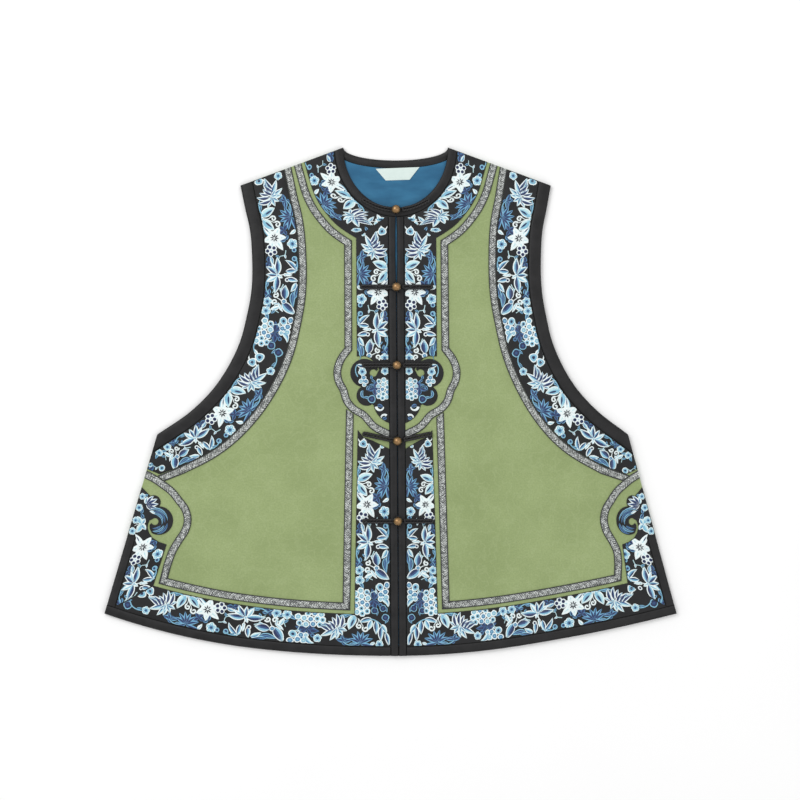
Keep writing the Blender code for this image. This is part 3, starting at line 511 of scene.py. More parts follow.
def smooth_step(value):
    """Ease from 0 to 1."""
    t = np.clip(value, 0.0, 1.0)
    return t * t * (3.0 - 2.0 * t)


def laid(points):
    """Place cut coordinates on the table, as x and y."""
    points = np.asarray(points, float)
    out = points[:, 0]
    drop = points[:, 1]
    lean = LEAN_AT_NECK * (1.0 - drop / CORNER_DROP)
    opening = OPENING_AT_NECK + (OPENING_AT_HEM - OPENING_AT_NECK) * drop / LENGTH
    axis = opening + (lean - opening) * smooth_step((np.abs(out) - LEAN_FROM) / LEAN_OVER)
    return np.column_stack([out + axis, LENGTH / 2 - drop])


def turned(points, degrees):
    """Turn flat points about their origin."""
    angle = math.radians(degrees)
    c, s = math.cos(angle), math.sin(angle)
    return np.column_stack([points[:, 0] * c - points[:, 1] * s, points[:, 0] * s + points[:, 1] * c])


def front_height(places):
    """Height of the front's swells, folds and fine waves over places on the table."""
    swell = np.zeros(len(places))
    for x, y, long_reach, short_reach, turn, rise in SWELLS:
        along, across = turned(places - np.array([x, y]), -turn).T
        swell += rise * np.exp(-((along / long_reach) ** 2) - (across / short_reach) ** 2)
    waves = np.zeros(len(places))
    for wavelength, turn, rise, phase in WAVES:
        along, across = turned(places, -turn).T
        wander = WANDER * np.sin(2 * np.pi * across / (WANDER_LENGTHS * wavelength) + phase)
        waves += rise * (1 + np.sin(2 * np.pi * along / wavelength + phase + wander))
    return swell + waves


# Curves


def circle(angles):
    """Return points round a circle of radius 1."""
    return np.column_stack([np.cos(angles), np.sin(angles)])


def sideways(headings):
    """Return headings turned by a quarter turn."""
    return np.column_stack([-headings[:, 1], headings[:, 0]])


def distances(curve):
    """Return each point's distance along a curve."""
    runs = np.linalg.norm(np.diff(curve, axis=0), axis=1)
    return np.concatenate([[0.0], np.cumsum(runs)])


def point_at(curve, at, where):
    """Return the point of a curve at a distance along it, or the points at several distances."""
    return np.stack([np.interp(where, at, curve[:, i]) for i in (0, 1)], axis=-1)


def resampled(curve, count):
    """Return points evenly spaced along a curve."""
    at = distances(curve)
    return point_at(curve, at, np.linspace(0.0, at[-1], count))


def spline(table, step):
    """Return points about a step apart on a smooth curve through a table's rows."""
    rows = np.array(table, float)
    at = distances(rows)
    slopes = np.gradient(rows, at, axis=0)
    where = np.linspace(0.0, at[-1], max(2, round(at[-1] / step)) + 1)
    k = np.clip(np.searchsorted(at, where, side="right") - 1, 0, len(rows) - 2)
    run = np.linalg.norm(rows[k + 1] - rows[k], axis=1)[:, None]
    t = (where - at[k])[:, None] / run
    ends = (1 + 2 * t) * (1 - t) ** 2 * rows[k] + t * t * (3 - 2 * t) * rows[k + 1]
    return ends + t * (1 - t) ** 2 * run * slopes[k] + t * t * (t - 1) * run * slopes[k + 1]


def arc(out, drop, radius, first, last, step=ARC_STEP):
    """Return points on an arc, with angles in degrees from outward, turning up to the neck."""
    count = max(3, math.ceil(abs(last - first) / step)) + 1
    angles = np.radians(np.linspace(first, last, count))
    return np.array([out, drop]) + circle(angles) * (radius, -radius)


def offset(curve, distance):
    """Move a curve sideways, to the right of its direction on the cut, with mitred corners."""
    headings = np.diff(curve, axis=0)
    headings /= np.linalg.norm(headings, axis=1)[:, None]
    normals = sideways(headings)
    before = np.vstack([normals[:1], normals])
    after = np.vstack([normals, normals[-1:]])
    share = 1.0 + np.sum(before * after, axis=1)
    return curve + (before + after) / share[:, None] * np.reshape(distance, (-1, 1))


def meet(point, heading, line):
    """Return where a line through a point crosses another line."""
    start, end = np.asarray(line, float)
    sides = np.column_stack([heading, start - end])
    return point + np.linalg.solve(sides, start - point)[0] * heading


def trimmed(curve, first_line=None, last_line=None):
    """Lengthen or cut a curve's end runs so that they stop on the given lines."""
    curve = np.array(curve, float)
    if first_line is not None:
        curve[0] = meet(curve[1], curve[0] - curve[1], first_line)
    if last_line is not None:
        curve[-1] = meet(curve[-2], curve[-1] - curve[-2], last_line)
    return curve


def upright(out):
    """Return a line straight down the garment at a distance from the opening."""
    return ((out, 0.0), (out, LENGTH))


SHOULDER_LINE = ((NECK_HALF, 0.0), (SHOULDER_HALF, SHOULDER_DROP))
SEAM_LINE = ((UNDERARM_HALF, UNDERARM_DROP), (CORNER_HALF, CORNER_DROP))
SEAM_SLOPE = (CORNER_HALF - UNDERARM_HALF) / (CORNER_DROP - UNDERARM_DROP)
SEAM_STRETCH = math.hypot(1.0, SEAM_SLOPE)


def armhole_line(side, inset, narrowing=0.0):
    """Return the armhole edge moved in, from shoulder to side."""
    edge = spline(ARMHOLE, ARMHOLE_STEP)
    share = np.linspace(0.0, 1.0, len(edge))
    inset = inset + ARMHOLE_SHIFT[side] * np.sin(np.pi * share)
    eased = smooth_step((share - NARROWING_FROM) / NARROWING_OVER)
    return trimmed(offset(edge, inset - narrowing * eased), SHOULDER_LINE)


def armhole_to_seam(side, inset):
    """Return the armhole edge moved in, ended on the side seam."""
    return trimmed(armhole_line(side, inset), last_line=SEAM_LINE)


def neck_line(depth, inset, start):
    """Return the neck edge moved out into the cloth, from a distance off the middle to the shoulder."""
    angles = np.linspace(0.0, math.pi / 2, NECK_STEPS + 1)
    edge = circle(angles)[:, ::-1] * (NECK_HALF, depth)
    return trimmed(offset(edge, inset), upright(start), SHOULDER_LINE)


def hem_at(side, out, inset):
    """Return the drop of the hem moved up by an inset."""
    power = HEM_POWER[side]
    share = np.asarray(out, float) / CORNER_HALF
    slope = (LENGTH - CORNER_DROP) * power * share ** (power - 1) / CORNER_HALF
    return LENGTH - (LENGTH - CORNER_DROP) * share**power - inset * np.hypot(1.0, slope)


def seam_at(drop, inset):
    """Return the distance out of the side seam moved in by an inset."""
    return UNDERARM_HALF + SEAM_SLOPE * (drop - UNDERARM_DROP) - inset * SEAM_STRETCH


def pulled(side, points):
    """Draw one side's trimmings nearer the seam, as they lie."""
    points = np.reshape(np.array(points, float), (-1, 2))
    drop = points[:, 1]
    share = SIDE_PULL[side] * (1.0 - smooth_step((drop - SIDE_CLOUD_POINT[1]) / PULL_FADE))
    points[:, 0] += (seam_at(drop, 0.0) - points[:, 0]) * share
    return points


def hem_corner(side, side_inset, hem_inset):
    """Return where the side moved in meets the hem moved up."""
    out = CORNER_HALF
    for _ in range(MEETING_ROUNDS):
        out = seam_at(hem_at(side, out, hem_inset), side_inset)
    return np.array([out, hem_at(side, out, hem_inset)])


def hem_line(side, inset, start, side_inset=0.0):
    """Return the hem moved up, from a distance off the opening to the side moved in."""
    last = hem_corner(side, side_inset, inset)
    count = math.ceil(CORNER_HALF / HEM_STEP)
    stations = np.linspace(0.0, CORNER_HALF, count + 1)
    inner = stations[(stations > start + LEAST_STEP) & (stations < last[0] - LEAST_STEP)]
    out = np.concatenate([[start], inner])
    return np.vstack([np.column_stack([out, hem_at(side, out, inset)]), last])


def skirt_edge(side, drop):
    """Return the distance out of the skirt ribbon's outer edge."""
    share = (drop - SKIRT_POINT_DROP) / (CORNER_DROP - SKIRT_POINT_DROP)
    shift = -side * SKIRT_RIBBON_SHIFT
    return SKIRT_RIBBON_TOP + (SKIRT_RIBBON_HEM - SKIRT_RIBBON_TOP) * share + shift


def skirt_corner(side, from_edge, inset):
    """Return where a line beside the skirt ribbon meets the hem moved up."""
    out = SKIRT_RIBBON_HEM
    for _ in range(MEETING_ROUNDS):
        out = skirt_edge(side, hem_at(side, out, inset)) + from_edge
    return np.array([out, hem_at(side, out, inset)])


def down(out, drops):
    """Return a line down the garment at a distance from the opening."""
    return np.column_stack([np.broadcast_to(out, len(drops)), drops])


# Outlines as triangles


def divided(outline, spacing):
    """Split the long straight edges of a closed outline."""
    points = []
    for start, end in zip(outline, np.roll(outline, -1, axis=0)):
        count = max(1, round(np.linalg.norm(end - start) / spacing))
        shares = np.arange(count)[:, None] / count
        points.append(start + (end - start) * shares)
    return np.vstack(points)


def inside(points, outline):
    """Say which points lie inside a closed outline."""
    x0, y0 = outline.T
    x1, y1 = np.roll(outline, -1, axis=0).T
    x, y = points[:, :1], points[:, 1:]
    spans = (y > np.minimum(y0, y1)) & (y <= np.maximum(y0, y1))
    crossing = x0 + (y - y0) * (x1 - x0) / np.where(y1 == y0, 1.0, y1 - y0)
    return (spans & (x < crossing)).sum(axis=1) % 2 == 1


def distance_to(points, outline):
    """Return each point's distance to a closed outline."""
    runs = np.roll(outline, -1, axis=0) - outline
    away = points[:, None] - outline
    squares = np.maximum((runs * runs).sum(axis=1), SAME_POINT)
    share = np.clip((away * runs).sum(axis=2) / squares, 0.0, 1.0)
    near = away - share[:, :, None] * runs
    return np.sqrt((near * near).sum(axis=2).min(axis=1))


def staggered_grid(outline, spacing):
    """Return a staggered grid of points well inside a closed outline."""
    low = outline.min(axis=0)
    high = outline.max(axis=0)
    rows = np.arange(low[1] + spacing / 2, high[1], spacing * GRID_ROW)
    points = []
    for number, y in enumerate(rows):
        start = low[0] + spacing * GRID_STAGGER * (0.5 + number % 2)
        points += [(x, y) for x in np.arange(start, high[0], spacing)]
    points = np.array(points, float).reshape(-1, 2)
    clear = distance_to(points, outline) > GRID_FROM_EDGE * spacing
    return points[inside(points, outline) & clear]


def triangles_of(outline, holes, spacing):
    """Triangulate a cut piece and return its points and triangles."""
    loops = [divided(loop, spacing) for loop in (outline, *holes)]
    grid = staggered_grid(loops[0], spacing)
    for hole in loops[1:]:
        clear = distance_to(grid, hole) > GRID_FROM_HOLE * spacing
        grid = grid[~inside(grid, hole) & clear]
    edges = []
    start = 0
    for loop in loops:
        numbers = np.arange(len(loop))
        edges += [(start + a, start + (a + 1) % len(loop)) for a in numbers]
        start += len(loop)
    points = [tuple(point) for point in np.vstack([*loops, grid])]
    made = delaunay_2d_cdt(points, edges, [], 0, SAME_POINT)
    corners = np.array(made[0], float)
    faces = np.array(made[2], int)
    centres = corners[faces].mean(axis=1)
    keep = inside(centres, loops[0])
    for hole in loops[1:]:
        keep &= ~inside(centres, hole)
    return corners, faces[keep]


# Meshes


def new_piece(name, slot, points, faces, flats):
    """Make a named piece from points in mm, faces and a flat coordinate for each point."""
    mesh = bpy.data.meshes.new(name)
    mesh.from_pydata((np.asarray(points) * MM).tolist(), [], faces)
    layer = mesh.uv_layers.new(name="cut")
    corners = np.zeros(len(mesh.loops), int)
    mesh.loops.foreach_get("vertex_index", corners)
    layer.data.foreach_set("uv", (np.asarray(flats)[corners] * MM).ravel())
    mesh.shade_smooth()
    mesh.set_sharp_from_angle(angle=math.radians(SHARP_ANGLE))
    piece = bpy.data.objects.new(name, mesh)
    bpy.context.collection.objects.link(piece)
    mesh.materials.append(bpy.data.materials["look_" + slot])
    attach(piece, "root")
    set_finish(piece, slot)
    return piece


def stand_in(node, slot, points, faces, flats):
    """Make the piece that stands for a node."""
    piece = new_piece("look_" + node, slot, points, faces, flats)
    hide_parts(node)
    return piece


def area_of(points, triangles):
    """Signed area of each triangle."""
    first = points[triangles[:, 1]] - points[triangles[:, 0]]
    second = points[triangles[:, 2]] - points[triangles[:, 0]]
    return 0.5 * (first[:, 0] * second[:, 1] - first[:, 1] * second[:, 0])


def boundary_runs(triangles):
    """Return the edges that only one triangle has, in its own direction."""
    runs = set()
    for a, b, c in triangles.tolist():
        for edge in ((a, b), (b, c), (c, a)):
            if edge[::-1] in runs:
                runs.remove(edge[::-1])
            else:
                runs.add(edge)
    return sorted(runs)


def cloth(node, slot, outline, layer, soft, spacing, holes=()):
    """Make a cloth piece that stands for a node, with softly rolled edges. Returns it and its area."""
    loops = [np.array(loop, float) for loop in (outline, *holes)]
    corners, triangles = triangles_of(loops[0], loops[1:], spacing)
    places = laid(corners)
    areas = area_of(places, triangles)
    triangles = np.where(areas[:, None] < 0, triangles[:, ::-1], triangles)
    rise = front_height(places) if soft else np.zeros(len(places))
    away = np.min([distance_to(corners, loop) for loop in loops], axis=0)
    top = layer[1] + rise - EDGE_ROLL * np.exp(-away / ROLL_WIDTH)
    points = np.vstack([np.column_stack([places, top]), np.column_stack([places, layer[0] + rise])])
    count = len(places)
    faces = triangles.tolist() + (triangles[:, ::-1] + count).tolist()
    faces += [[a + count, b + count, b, a] for a, b in boundary_runs(triangles)]
    piece = stand_in(node, slot, points, faces, np.vstack([corners, corners]))
    return piece, float(np.abs(areas).sum()) * MM * MM


def ring_sides(count, size, closed=False):
    """Return the faces between rings that each have the same number of points."""
    ring = np.arange(size)
    after = (ring + 1) % size
    faces = []
    for number in range(count if closed else count - 1):
        low = number * size
        high = (number + 1) % count * size
        faces += np.column_stack([low + ring, low + after, high + after, high + ring]).tolist()
    return faces


def ring_ends(count, size):
    """Return the faces that close the first and the last ring."""
    ring = np.arange(size)
    return [ring[::-1].tolist(), (ring + (count - 1) * size).tolist()]


def outward(points, faces):
    """Turn a closed mesh's faces round if they face inwards."""
    total = 0.0
    for face in faces:
        corners = points[face]
        for a, b in zip(corners[1:-1], corners[2:]):
            total += np.dot(corners[0], np.cross(a, b))
    return [face[::-1] for face in faces] if total < 0 else faces


def strip(node, side, inner, outer, layer, soft=True, slot="black_satin", section=ROLLED_SECTION):
    """Make a long narrow piece between two edges drawn with matching points."""
    along = distances((inner + outer) / 2)
    width = np.linalg.norm(outer - inner, axis=1)
    columns = []
    flats = []
    for share, level in section:
        places = laid((inner * (1 - share) + outer * share) * (side, 1.0))
        rise = front_height(places) if soft else np.zeros(len(places))
        columns.append(np.column_stack([places, rise + layer[0] + (layer[1] - layer[0]) * level]))
        flats.append(np.column_stack([along, (share - 0.5) * width]))
    points = np.stack(columns, axis=1).reshape(-1, 3)
    sizes = (len(inner), len(section))
    faces = outward(points, ring_sides(*sizes) + ring_ends(*sizes))
    stand_in(node, slot, points, faces, np.stack(flats, axis=1).reshape(-1, 2))


def back_strip(node, side, inner, outer):
    """Make a flat binding of the back layer."""
    strip(node, side, inner, outer, BACK_EDGE, soft=False, section=FLAT_SECTION)


def on_side(side, *parts):
    """Join runs of points into one outline and put it on a side of the garment."""
    points = np.vstack([np.reshape(part, (-1, 2)) for part in parts])
    return points * np.array([side, 1.0])


def both_sides(right, left):
    """Join a curve of each half, both drawn outward, into one from right to left."""
    return np.vstack([(right * (-1.0, 1.0))[:0:-1], left])


# Outlines of the pieces, on the left side


def armhole_and_slit(side):
    """Return a body panel's edge from the shoulder round the armhole and down the side to the hem."""
    return (
        armhole_to_seam(side, ARMHOLE_BINDING + SEAM),
        [(seam_at(SLIT_DROP, 0.0), SLIT_DROP)],
        [(seam_at(SLIT_DROP, SIDE_BINDING + SEAM), SLIT_DROP)],
        hem_line(side, HEM_BINDING + SEAM, START, SIDE_BINDING + SEAM)[::-1],
    )


def back_outline():
    """Return the outline of the back and its lining, both halves."""
    neck = neck_line(BACK_NECK_DROP, NECK_FACING + SEAM, 0.0)
    right, left = (on_side(side, neck, *armhole_and_slit(side)) for _, side in SIDES)
    return np.vstack([left, right[1:][::-1]])


def side_edge(side, inset):
    """Return the slit's edge moved in, from the top of the slit to the hem binding."""
    last = hem_corner(side, inset, HEM_BINDING + SEAM)
    shares = np.linspace(0.0, 1.0, SIDE_POINTS)[:, None]
    first = np.array([seam_at(SLIT_DROP + SEAM, inset), SLIT_DROP + SEAM])
    return first + (last - first) * shares


def hem_edges(side, start):
    """Return the lower and upper edges of the hem binding with matching points."""
    lower = hem_line(side, 0.0, start)
    upper = lower.copy()
    upper[:, 1] = hem_at(side, upper[:, 0], HEM_BINDING)
    upper[-1] = hem_corner(side, 0.0, HEM_BINDING)
    return upper, lower


def mitre_at_hem(side, gap):
    """Return the corners of the mitre between the skirt ribbon and the hem ribbon."""
    inner = skirt_corner(side, 0.0, HEM_RIBBON)
    outer = np.array([START, hem_at(side, START, HEM_BINDING + SEAM)])
    return inner - [0.0, gap], outer - [0.0, gap]


def neck_outline(side):
    """Return the neck ribbon's outline."""
    inner = neck_line(FRONT_NECK_DROP, NECK_BINDING + SEAM, START)
    outer = trimmed(spline(NECK_RIBBON, RIBBON_GRID), SHOULDER_LINE)
    return np.vstack([inner, outer])


def chest_outline(side):
    """Return the chest ribbon's outline with its cloud head."""
    top = neck_line(FRONT_NECK_DROP, NECK_BINDING + SEAM, START)[0] + [0.0, MITRE_GAP]
    outer_top = (CHEST_RIBBON, NECK_RIBBON[-1][1] + MITRE_GAP)
    outer_end = (CHEST_RIBBON, CHEST_RIBBON_END)
    lobes = [arc(*row) for row in CHEST_CLOUD]
    last = (START, lobes[-1][-1, 1] + CHEST_CLOUD_FALL)
    return on_side(LEFT, top, outer_top, outer_end, CHEST_NOTCH, *lobes, last)


def skirt_outline(side):
    """Return the skirt ribbon's outline."""
    inner, outer = mitre_at_hem(side, MITRE_GAP)
    point = (skirt_edge(side, SKIRT_POINT_DROP), SKIRT_POINT_DROP)
    inner_top = (START, SKIRT_RIBBON_INNER_DROP)
    shift = 1.0 - side * SKIRT_RIBBON_SHIFT / SKIRT_RIBBON_TOP
    edge = [(out * shift, drop) for out, drop in SKIRT_RIBBON_EDGE]
    return on_side(LEFT, point, edge, inner_top, outer, inner)


def hem_outline(side):
    """Return the hem ribbon's outline."""
    inner, outer = mitre_at_hem(side, 0.0)
    upper = hem_line(side, HEM_RIBBON, inner[0], SIDE_RIBBON)
    lower = hem_line(side, HEM_BINDING + SEAM, outer[0], SIDE_BINDING + SEAM)
    return np.vstack([upper, lower[::-1]])


def side_outline(side):
    """Return the side ribbon's outline with its curled cloud head."""
    lift = [0.0, MITRE_GAP]
    inner = hem_corner(side, SIDE_RIBBON, HEM_RIBBON) - lift
    outer = hem_corner(side, SIDE_BINDING + SEAM, HEM_BINDING + SEAM) - lift
    slit = [
        (seam_at(SLIT_DROP, SIDE_BINDING + SEAM), SLIT_DROP),
        (seam_at(SLIT_DROP, 0.0), SLIT_DROP),
        (seam_at(SIDE_CLOUD_START, 0.0), SIDE_CLOUD_START),
    ]
    lobes = [arc(*row) for row in SIDE_CLOUD]
    curl = [SIDE_CURL_INNER, arc(*SIDE_EYE, step=SIDE_EYE_STEP), SIDE_CURL_OUTER, [SIDE_CLOUD_POINT]]
    head = pulled(side, np.vstack([*lobes, *curl]))
    return on_side(LEFT, inner, outer, slit, head)


def armhole_outline(side):
    """Return the armhole ribbon's outline."""
    outer = armhole_to_seam(side, ARMHOLE_BINDING + SEAM)
    inner = armhole_line(side, ARMHOLE_RIBBON, ARMHOLE_NARROWING)
    end = (seam_at(ARMHOLE_RIBBON_END, 0.0), ARMHOLE_RIBBON_END)
    return on_side(LEFT, outer, end, pulled(side, ARMHOLE_RIBBON_TIP), inner[::-1])


# Cloth pieces


def body_cloth():
    """Make the back, its lining, the fronts and the label."""
    outline = back_outline()
    plain = (
        ("back_panel", "green_silk", outline, SHELL, BACK_GRID, BACK_FLAT, "floor"),
        ("back_lining", "blue_lining", outline, LINING, BACK_GRID, BACK_FLAT, "look_back_panel"),
        ("neck_label", "white_label", LABEL, LABEL_LAYER, LABEL_GRID, LABEL_FLAT, "look_back_lining"),
    )
    sheets = []
    for node, slot, outline, layer, spacing, flat, below in plain:
        sheets.append((*cloth(node, slot, outline, layer, False, spacing), flat, [below]))
    for letter, side in SIDES:
        neck = neck_line(FRONT_NECK_DROP, NECK_BINDING + SEAM, START)
        outline = on_side(side, neck, *armhole_and_slit(side))
        made = cloth("front_panel_" + letter, "green_silk", outline, FRONT, True, PANEL_GRID)
        sheets.append((*made, FRONT_FLAT, ["look_back_lining"]))
    return sheets


def ribbons():
    """Make the satin ground of the embroidered ribbons."""
    outlines = {
        "neck_border": neck_outline,
        "front_border_upper": chest_outline,
        "front_border_lower": skirt_outline,
        "hem_border": hem_outline,
        "side_border": side_outline,
        "armhole_border": armhole_outline,
    }
    for name, draw in outlines.items():
        for letter, side in SIDES:
            holes = [on_side(side, arc(*CHEST_EYE), CHEST_EYE_TAIL)] if draw is chest_outline else []
            outline = draw(side) * (side, 1.0)
            cloth(f"{name}_{letter}", "ribbon_satin", outline, RIBBON, True, RIBBON_GRID, holes)


def neck_bindings():
    """Make the binding round the front neck and the facing round the back neck."""
    for letter, side in SIDES:
        edges = (neck_line(FRONT_NECK_DROP, inset, SLIT_OF_OPENING) for inset in (0.0, NECK_BINDING))
        strip(f"neck_binding_{letter}", side, *edges, FRONT_EDGE)
    edges = (neck_line(BACK_NECK_DROP, inset, 0.0) for inset in (0.0, NECK_FACING))
    back_strip("neck_facing_back", LEFT, *(both_sides(edge, edge) for edge in edges))


def gape(drops):
    """How far each front edge lies open between the first two buttons."""
    share = np.clip((drops - FROGS[0][0]) / (FROGS[1][0] - FROGS[0][0]), 0.0, 1.0)
    return GAPE * np.sin(np.pi * share) ** GAPE_POWER


def front_edge_bindings():
    """Make the bindings down the front edges."""
    for letter, side in SIDES:
        drops = np.arange(0.0, LENGTH, HEM_STEP)
        start = neck_line(FRONT_NECK_DROP, NECK_BINDING + SEAM, SLIT_OF_OPENING)[0, 1]
        drops = np.concatenate([[start], drops[drops > start + LEAST_STEP], [LENGTH]])
        inner = down(SLIT_OF_OPENING + gape(drops), drops)
        outer = down(FRONT_BINDING, drops)
        outer[0, 1] = neck_line(FRONT_NECK_DROP, NECK_BINDING + SEAM, FRONT_BINDING)[0, 1]
        inner[-1, 1] = hem_at(side, SLIT_OF_OPENING, 0.0)
        outer[-1, 1] = hem_at(side, FRONT_BINDING, 0.0)
        strip(f"front_edge_binding_{letter}", side, inner, outer, FRONT_EDGE)


def armhole_bindings():
    """Make the bindings round the armholes, front and back."""
    for letter, side in SIDES:
        edges = [armhole_to_seam(side, inset) for inset in (ARMHOLE_BINDING, 0.0)]
        strip(f"armhole_binding_{letter}", side, *edges, FRONT_EDGE)
        back_strip(f"back_armhole_binding_{letter}", side, *edges)


def hem_and_side_bindings():
    """Make the bindings of the hems and of the side slits, front and back."""
    for letter, side in SIDES:
        strip(f"hem_binding_{letter}", side, *hem_edges(side, START), FRONT_EDGE)
        edges = [side_edge(side, inset) for inset in (SIDE_BINDING, 0.0)]
        strip(f"side_binding_{letter}", side, *edges, FRONT_EDGE)
        back_strip(f"back_side_binding_{letter}", side, *edges)
    halves = zip(hem_edges(RIGHT, 0.0), hem_edges(LEFT, 0.0))
    back_strip("back_hem_binding", LEFT, *(both_sides(*pair) for pair in halves))


def braid(node, side, centre, first_line, last_line):
    """Make a braid along its centre line, ended on two lines."""
    edges = (trimmed(offset(centre, away), first_line, last_line) for away in (-BRAID_HALF, BRAID_HALF))
    strip(node, side, *edges, BRAID, slot="brocade_braid", section=BRAID_SECTION)


def stepped(first, last):
    """Return points along a straight run of braid, without its last point."""
    first = np.asarray(first, float)
    last = np.asarray(last, float)
    count = max(1, round(np.linalg.norm(last - first) / (2 * BRAID_STEP)))
    return first + (last - first) * (np.arange(count) / count)[:, None]


def front_braid_centre():
    """Return the centre line of the braid from the shoulder to the chest cloud."""
    beside = CHEST_RIBBON + BRAID_FROM_RIBBON
    ribbon = spline(NECK_RIBBON, BRAID_STEP)
    neck = offset(ribbon, -np.linspace(BRAID_FROM_NECK_RIBBON, BRAID_FROM_RIBBON, len(ribbon)))
    neck = trimmed(neck[: (neck[:, 0] > beside + 1.0).sum() + 1], last_line=upright(beside))
    return np.vstack([neck, stepped(neck[-1], CLOUD_BRAID[0])[1:], spline(CLOUD_BRAID, BRAID_STEP)])


def panel_braid_centre(side):
    """Return the centre line of the braid down the skirt, along the hem and round the side cloud."""
    corner = skirt_corner(side, BRAID_FROM_RIBBON, HEM_BRAID)
    top = (skirt_edge(side, SKIRT_BRAID_TOP) + BRAID_FROM_RIBBON, SKIRT_BRAID_TOP)
    hem = hem_line(side, HEM_BRAID, corner[0], SIDE_RIBBON + BRAID_FROM_RIBBON)
    return np.vstack([stepped(top, corner), hem, pulled(side, spline(SIDE_BRAID[::-1], BRAID_STEP))])


def braids():
    """Make the braids beside the ribbons."""
    for letter, side in SIDES:
        centre = armhole_line(side, ARMHOLE_BRAID, ARMHOLE_NARROWING)
        centre = np.vstack([centre, pulled(side, ARMHOLE_BRAID_END)])
        stop = pulled(side, ARMHOLE_BRAID_STOP)
        braid(f"armhole_braid_{letter}", side, centre, SHOULDER_LINE, stop)
        braid(f"front_braid_{letter}", side, front_braid_centre(), SHOULDER_LINE, upright(START))
        braid(f"panel_braid_{letter}", side, panel_braid_centre(side), SKIRT_BRAID_START, SEAM_LINE)


# Closures


def frog_arm(side, row, share, across):
    """Return a point of a frog's arm, with a share of its reach and a distance across it."""
    drop, reach, rise, bend = row
    return (side * share * reach, drop - rise * share**bend + across)


def smooth_loop(path, count):
    """Return points evenly spaced on a smooth closed curve through the path."""
    rows = np.asarray(path, float)
    size = len(rows)
    steps = np.arange(size * CORD_STEPS) / CORD_STEPS
    k = steps.astype(int)
    t = (steps - k)[:, None]
    a, b, c, d = (rows[(k + shift) % size] for shift in (-1, 0, 1, 2))
    curve = 2 * b + (c - a) * t + (2 * a - 5 * b + 4 * c - d) * t**2
    curve = 0.5 * (curve + (3 * b - a - 3 * c + d) * t**3)
    return resampled(np.vstack([curve, curve[:1]]), count + 1)[:-1]


def cord_loop(node, path):
    """Make a closed loop of cord from its flat path, lying on the layers below."""
    places = laid(smooth_loop(path, CORD_POINTS))
    headings = np.roll(places, -1, axis=0) - np.roll(places, 1, axis=0)
    normals = sideways(headings / np.linalg.norm(headings, axis=1)[:, None])
    base = front_height(places) + FROG_BASE + CORD_RADIUS
    along = np.cumsum(np.linalg.norm(np.roll(places, -1, axis=0) - places, axis=1))
    angles = 2 * np.pi * np.arange(CORD_SIDES) / CORD_SIDES
    points = []
    flats = []
    for place, normal, level, where in zip(places, normals, base, along):
        flat = place + np.outer(CORD_RADIUS * np.cos(angles), normal)
        points.append(np.column_stack([flat, level + CORD_RADIUS * np.sin(angles)]))
        flats.append(np.column_stack([np.full(CORD_SIDES, where), angles * CORD_RADIUS]))
    points = np.vstack(points)
    faces = outward(points, ring_sides(CORD_POINTS, CORD_SIDES, closed=True))
    stand_in(node, "black_cord", points, faces, np.vstack(flats))


def end_turn(side, centre, turn):
    """Return the middle points of a cord's tight turn at an arm's end."""
    angles = np.radians(CORD_TURN_ANGLES)
    return centre + turn * circle(angles) * (side * CORD_TURN, CORD_SPACING)


def arm_path(side, row, start):
    """Return an arm's two cords, out along the upper, round the end and back along the lower."""
    along = np.linspace(start / row[1], 1.0, ARM_POINTS)
    upper = [frog_arm(side, row, share, -CORD_SPACING) for share in along]
    lower = [frog_arm(side, row, share, CORD_SPACING) for share in along[::-1]]
    turn = end_turn(side, frog_arm(side, row, 1.0, 0.0), 1)
    return np.vstack([upper, turn, lower])


def frogs():
    """Make the five frog closures, a loop on the wearer's right and a knotted arm on the left."""
    angles = np.radians(np.linspace(*LOOP_ANGLES[::-1], LOOP_POINTS))
    for number, row in enumerate(FROGS, 1):
        ring = LOOP_RADIUS * circle(angles) + (0.0, row[0])
        cord_loop(f"frog_{number}_loop", np.vstack([arm_path(RIGHT, row, ARM_START), ring]))
        inner_end = frog_arm(LEFT, row, KNOT_START / row[1], 0.0)
        path = np.vstack([arm_path(LEFT, row, KNOT_START), end_turn(LEFT, inner_end, -1)])
        cord_loop(f"frog_{number}_knot", path)


def ball_profile():
    """Return a ball button's radii and heights above its stem's foot, from the foot to the crown."""
    reach = BALL_RADIUS + CORD_RADIUS + SEAM
    middle = CORD_RADIUS + math.sqrt(reach**2 - LOOP_RADIUS**2)
    lowest = -math.acos(STEM_RADIUS / BALL_RADIUS)
    profile = [(STEM_RADIUS, 0.0), (STEM_RADIUS, 0.5 * (middle - BALL_RADIUS) + STEM_PAST)]
    for angle in np.linspace(lowest, math.pi / 2, BALL_ROWS + 1)[:-1]:
        radius = BALL_RADIUS - BALL_GROOVE[0] * math.exp(-((angle / BALL_GROOVE[1]) ** 2))
        profile.append((radius * math.cos(angle), middle + radius * math.sin(angle)))
    profile.append((BALL_CROWN[0], middle + BALL_RADIUS + BALL_CROWN[1]))
    return profile


def buttons():
    """Make the brass ball buttons, each on a stem that stands in its loop."""
    turns = 2 * np.pi * np.arange(BALL_SEGMENTS) / BALL_SEGMENTS
    for number, row in enumerate(FROGS, 1):
        place = laid([(0.0, row[0])])
        level = FROG_BASE + front_height(place)[0]
        points = []
        flats = []
        for radius, height in ball_profile():
            levels = np.full(BALL_SEGMENTS, level + height)
            points.append(np.column_stack([place + radius * circle(turns), levels]))
            flats.append(np.column_stack([turns * BALL_RADIUS, np.full(BALL_SEGMENTS, height)]))
        sizes = (len(points), BALL_SEGMENTS)
        first, last = ring_ends(*sizes)
        points = np.vstack(points)
        faces = outward(points, [first, *ring_sides(*sizes), last])
        stand_in(f"button_{number}", "old_brass", points, faces, np.vstack(flats))


# Embroidered shapes, each a grid of points with a colour for each cell


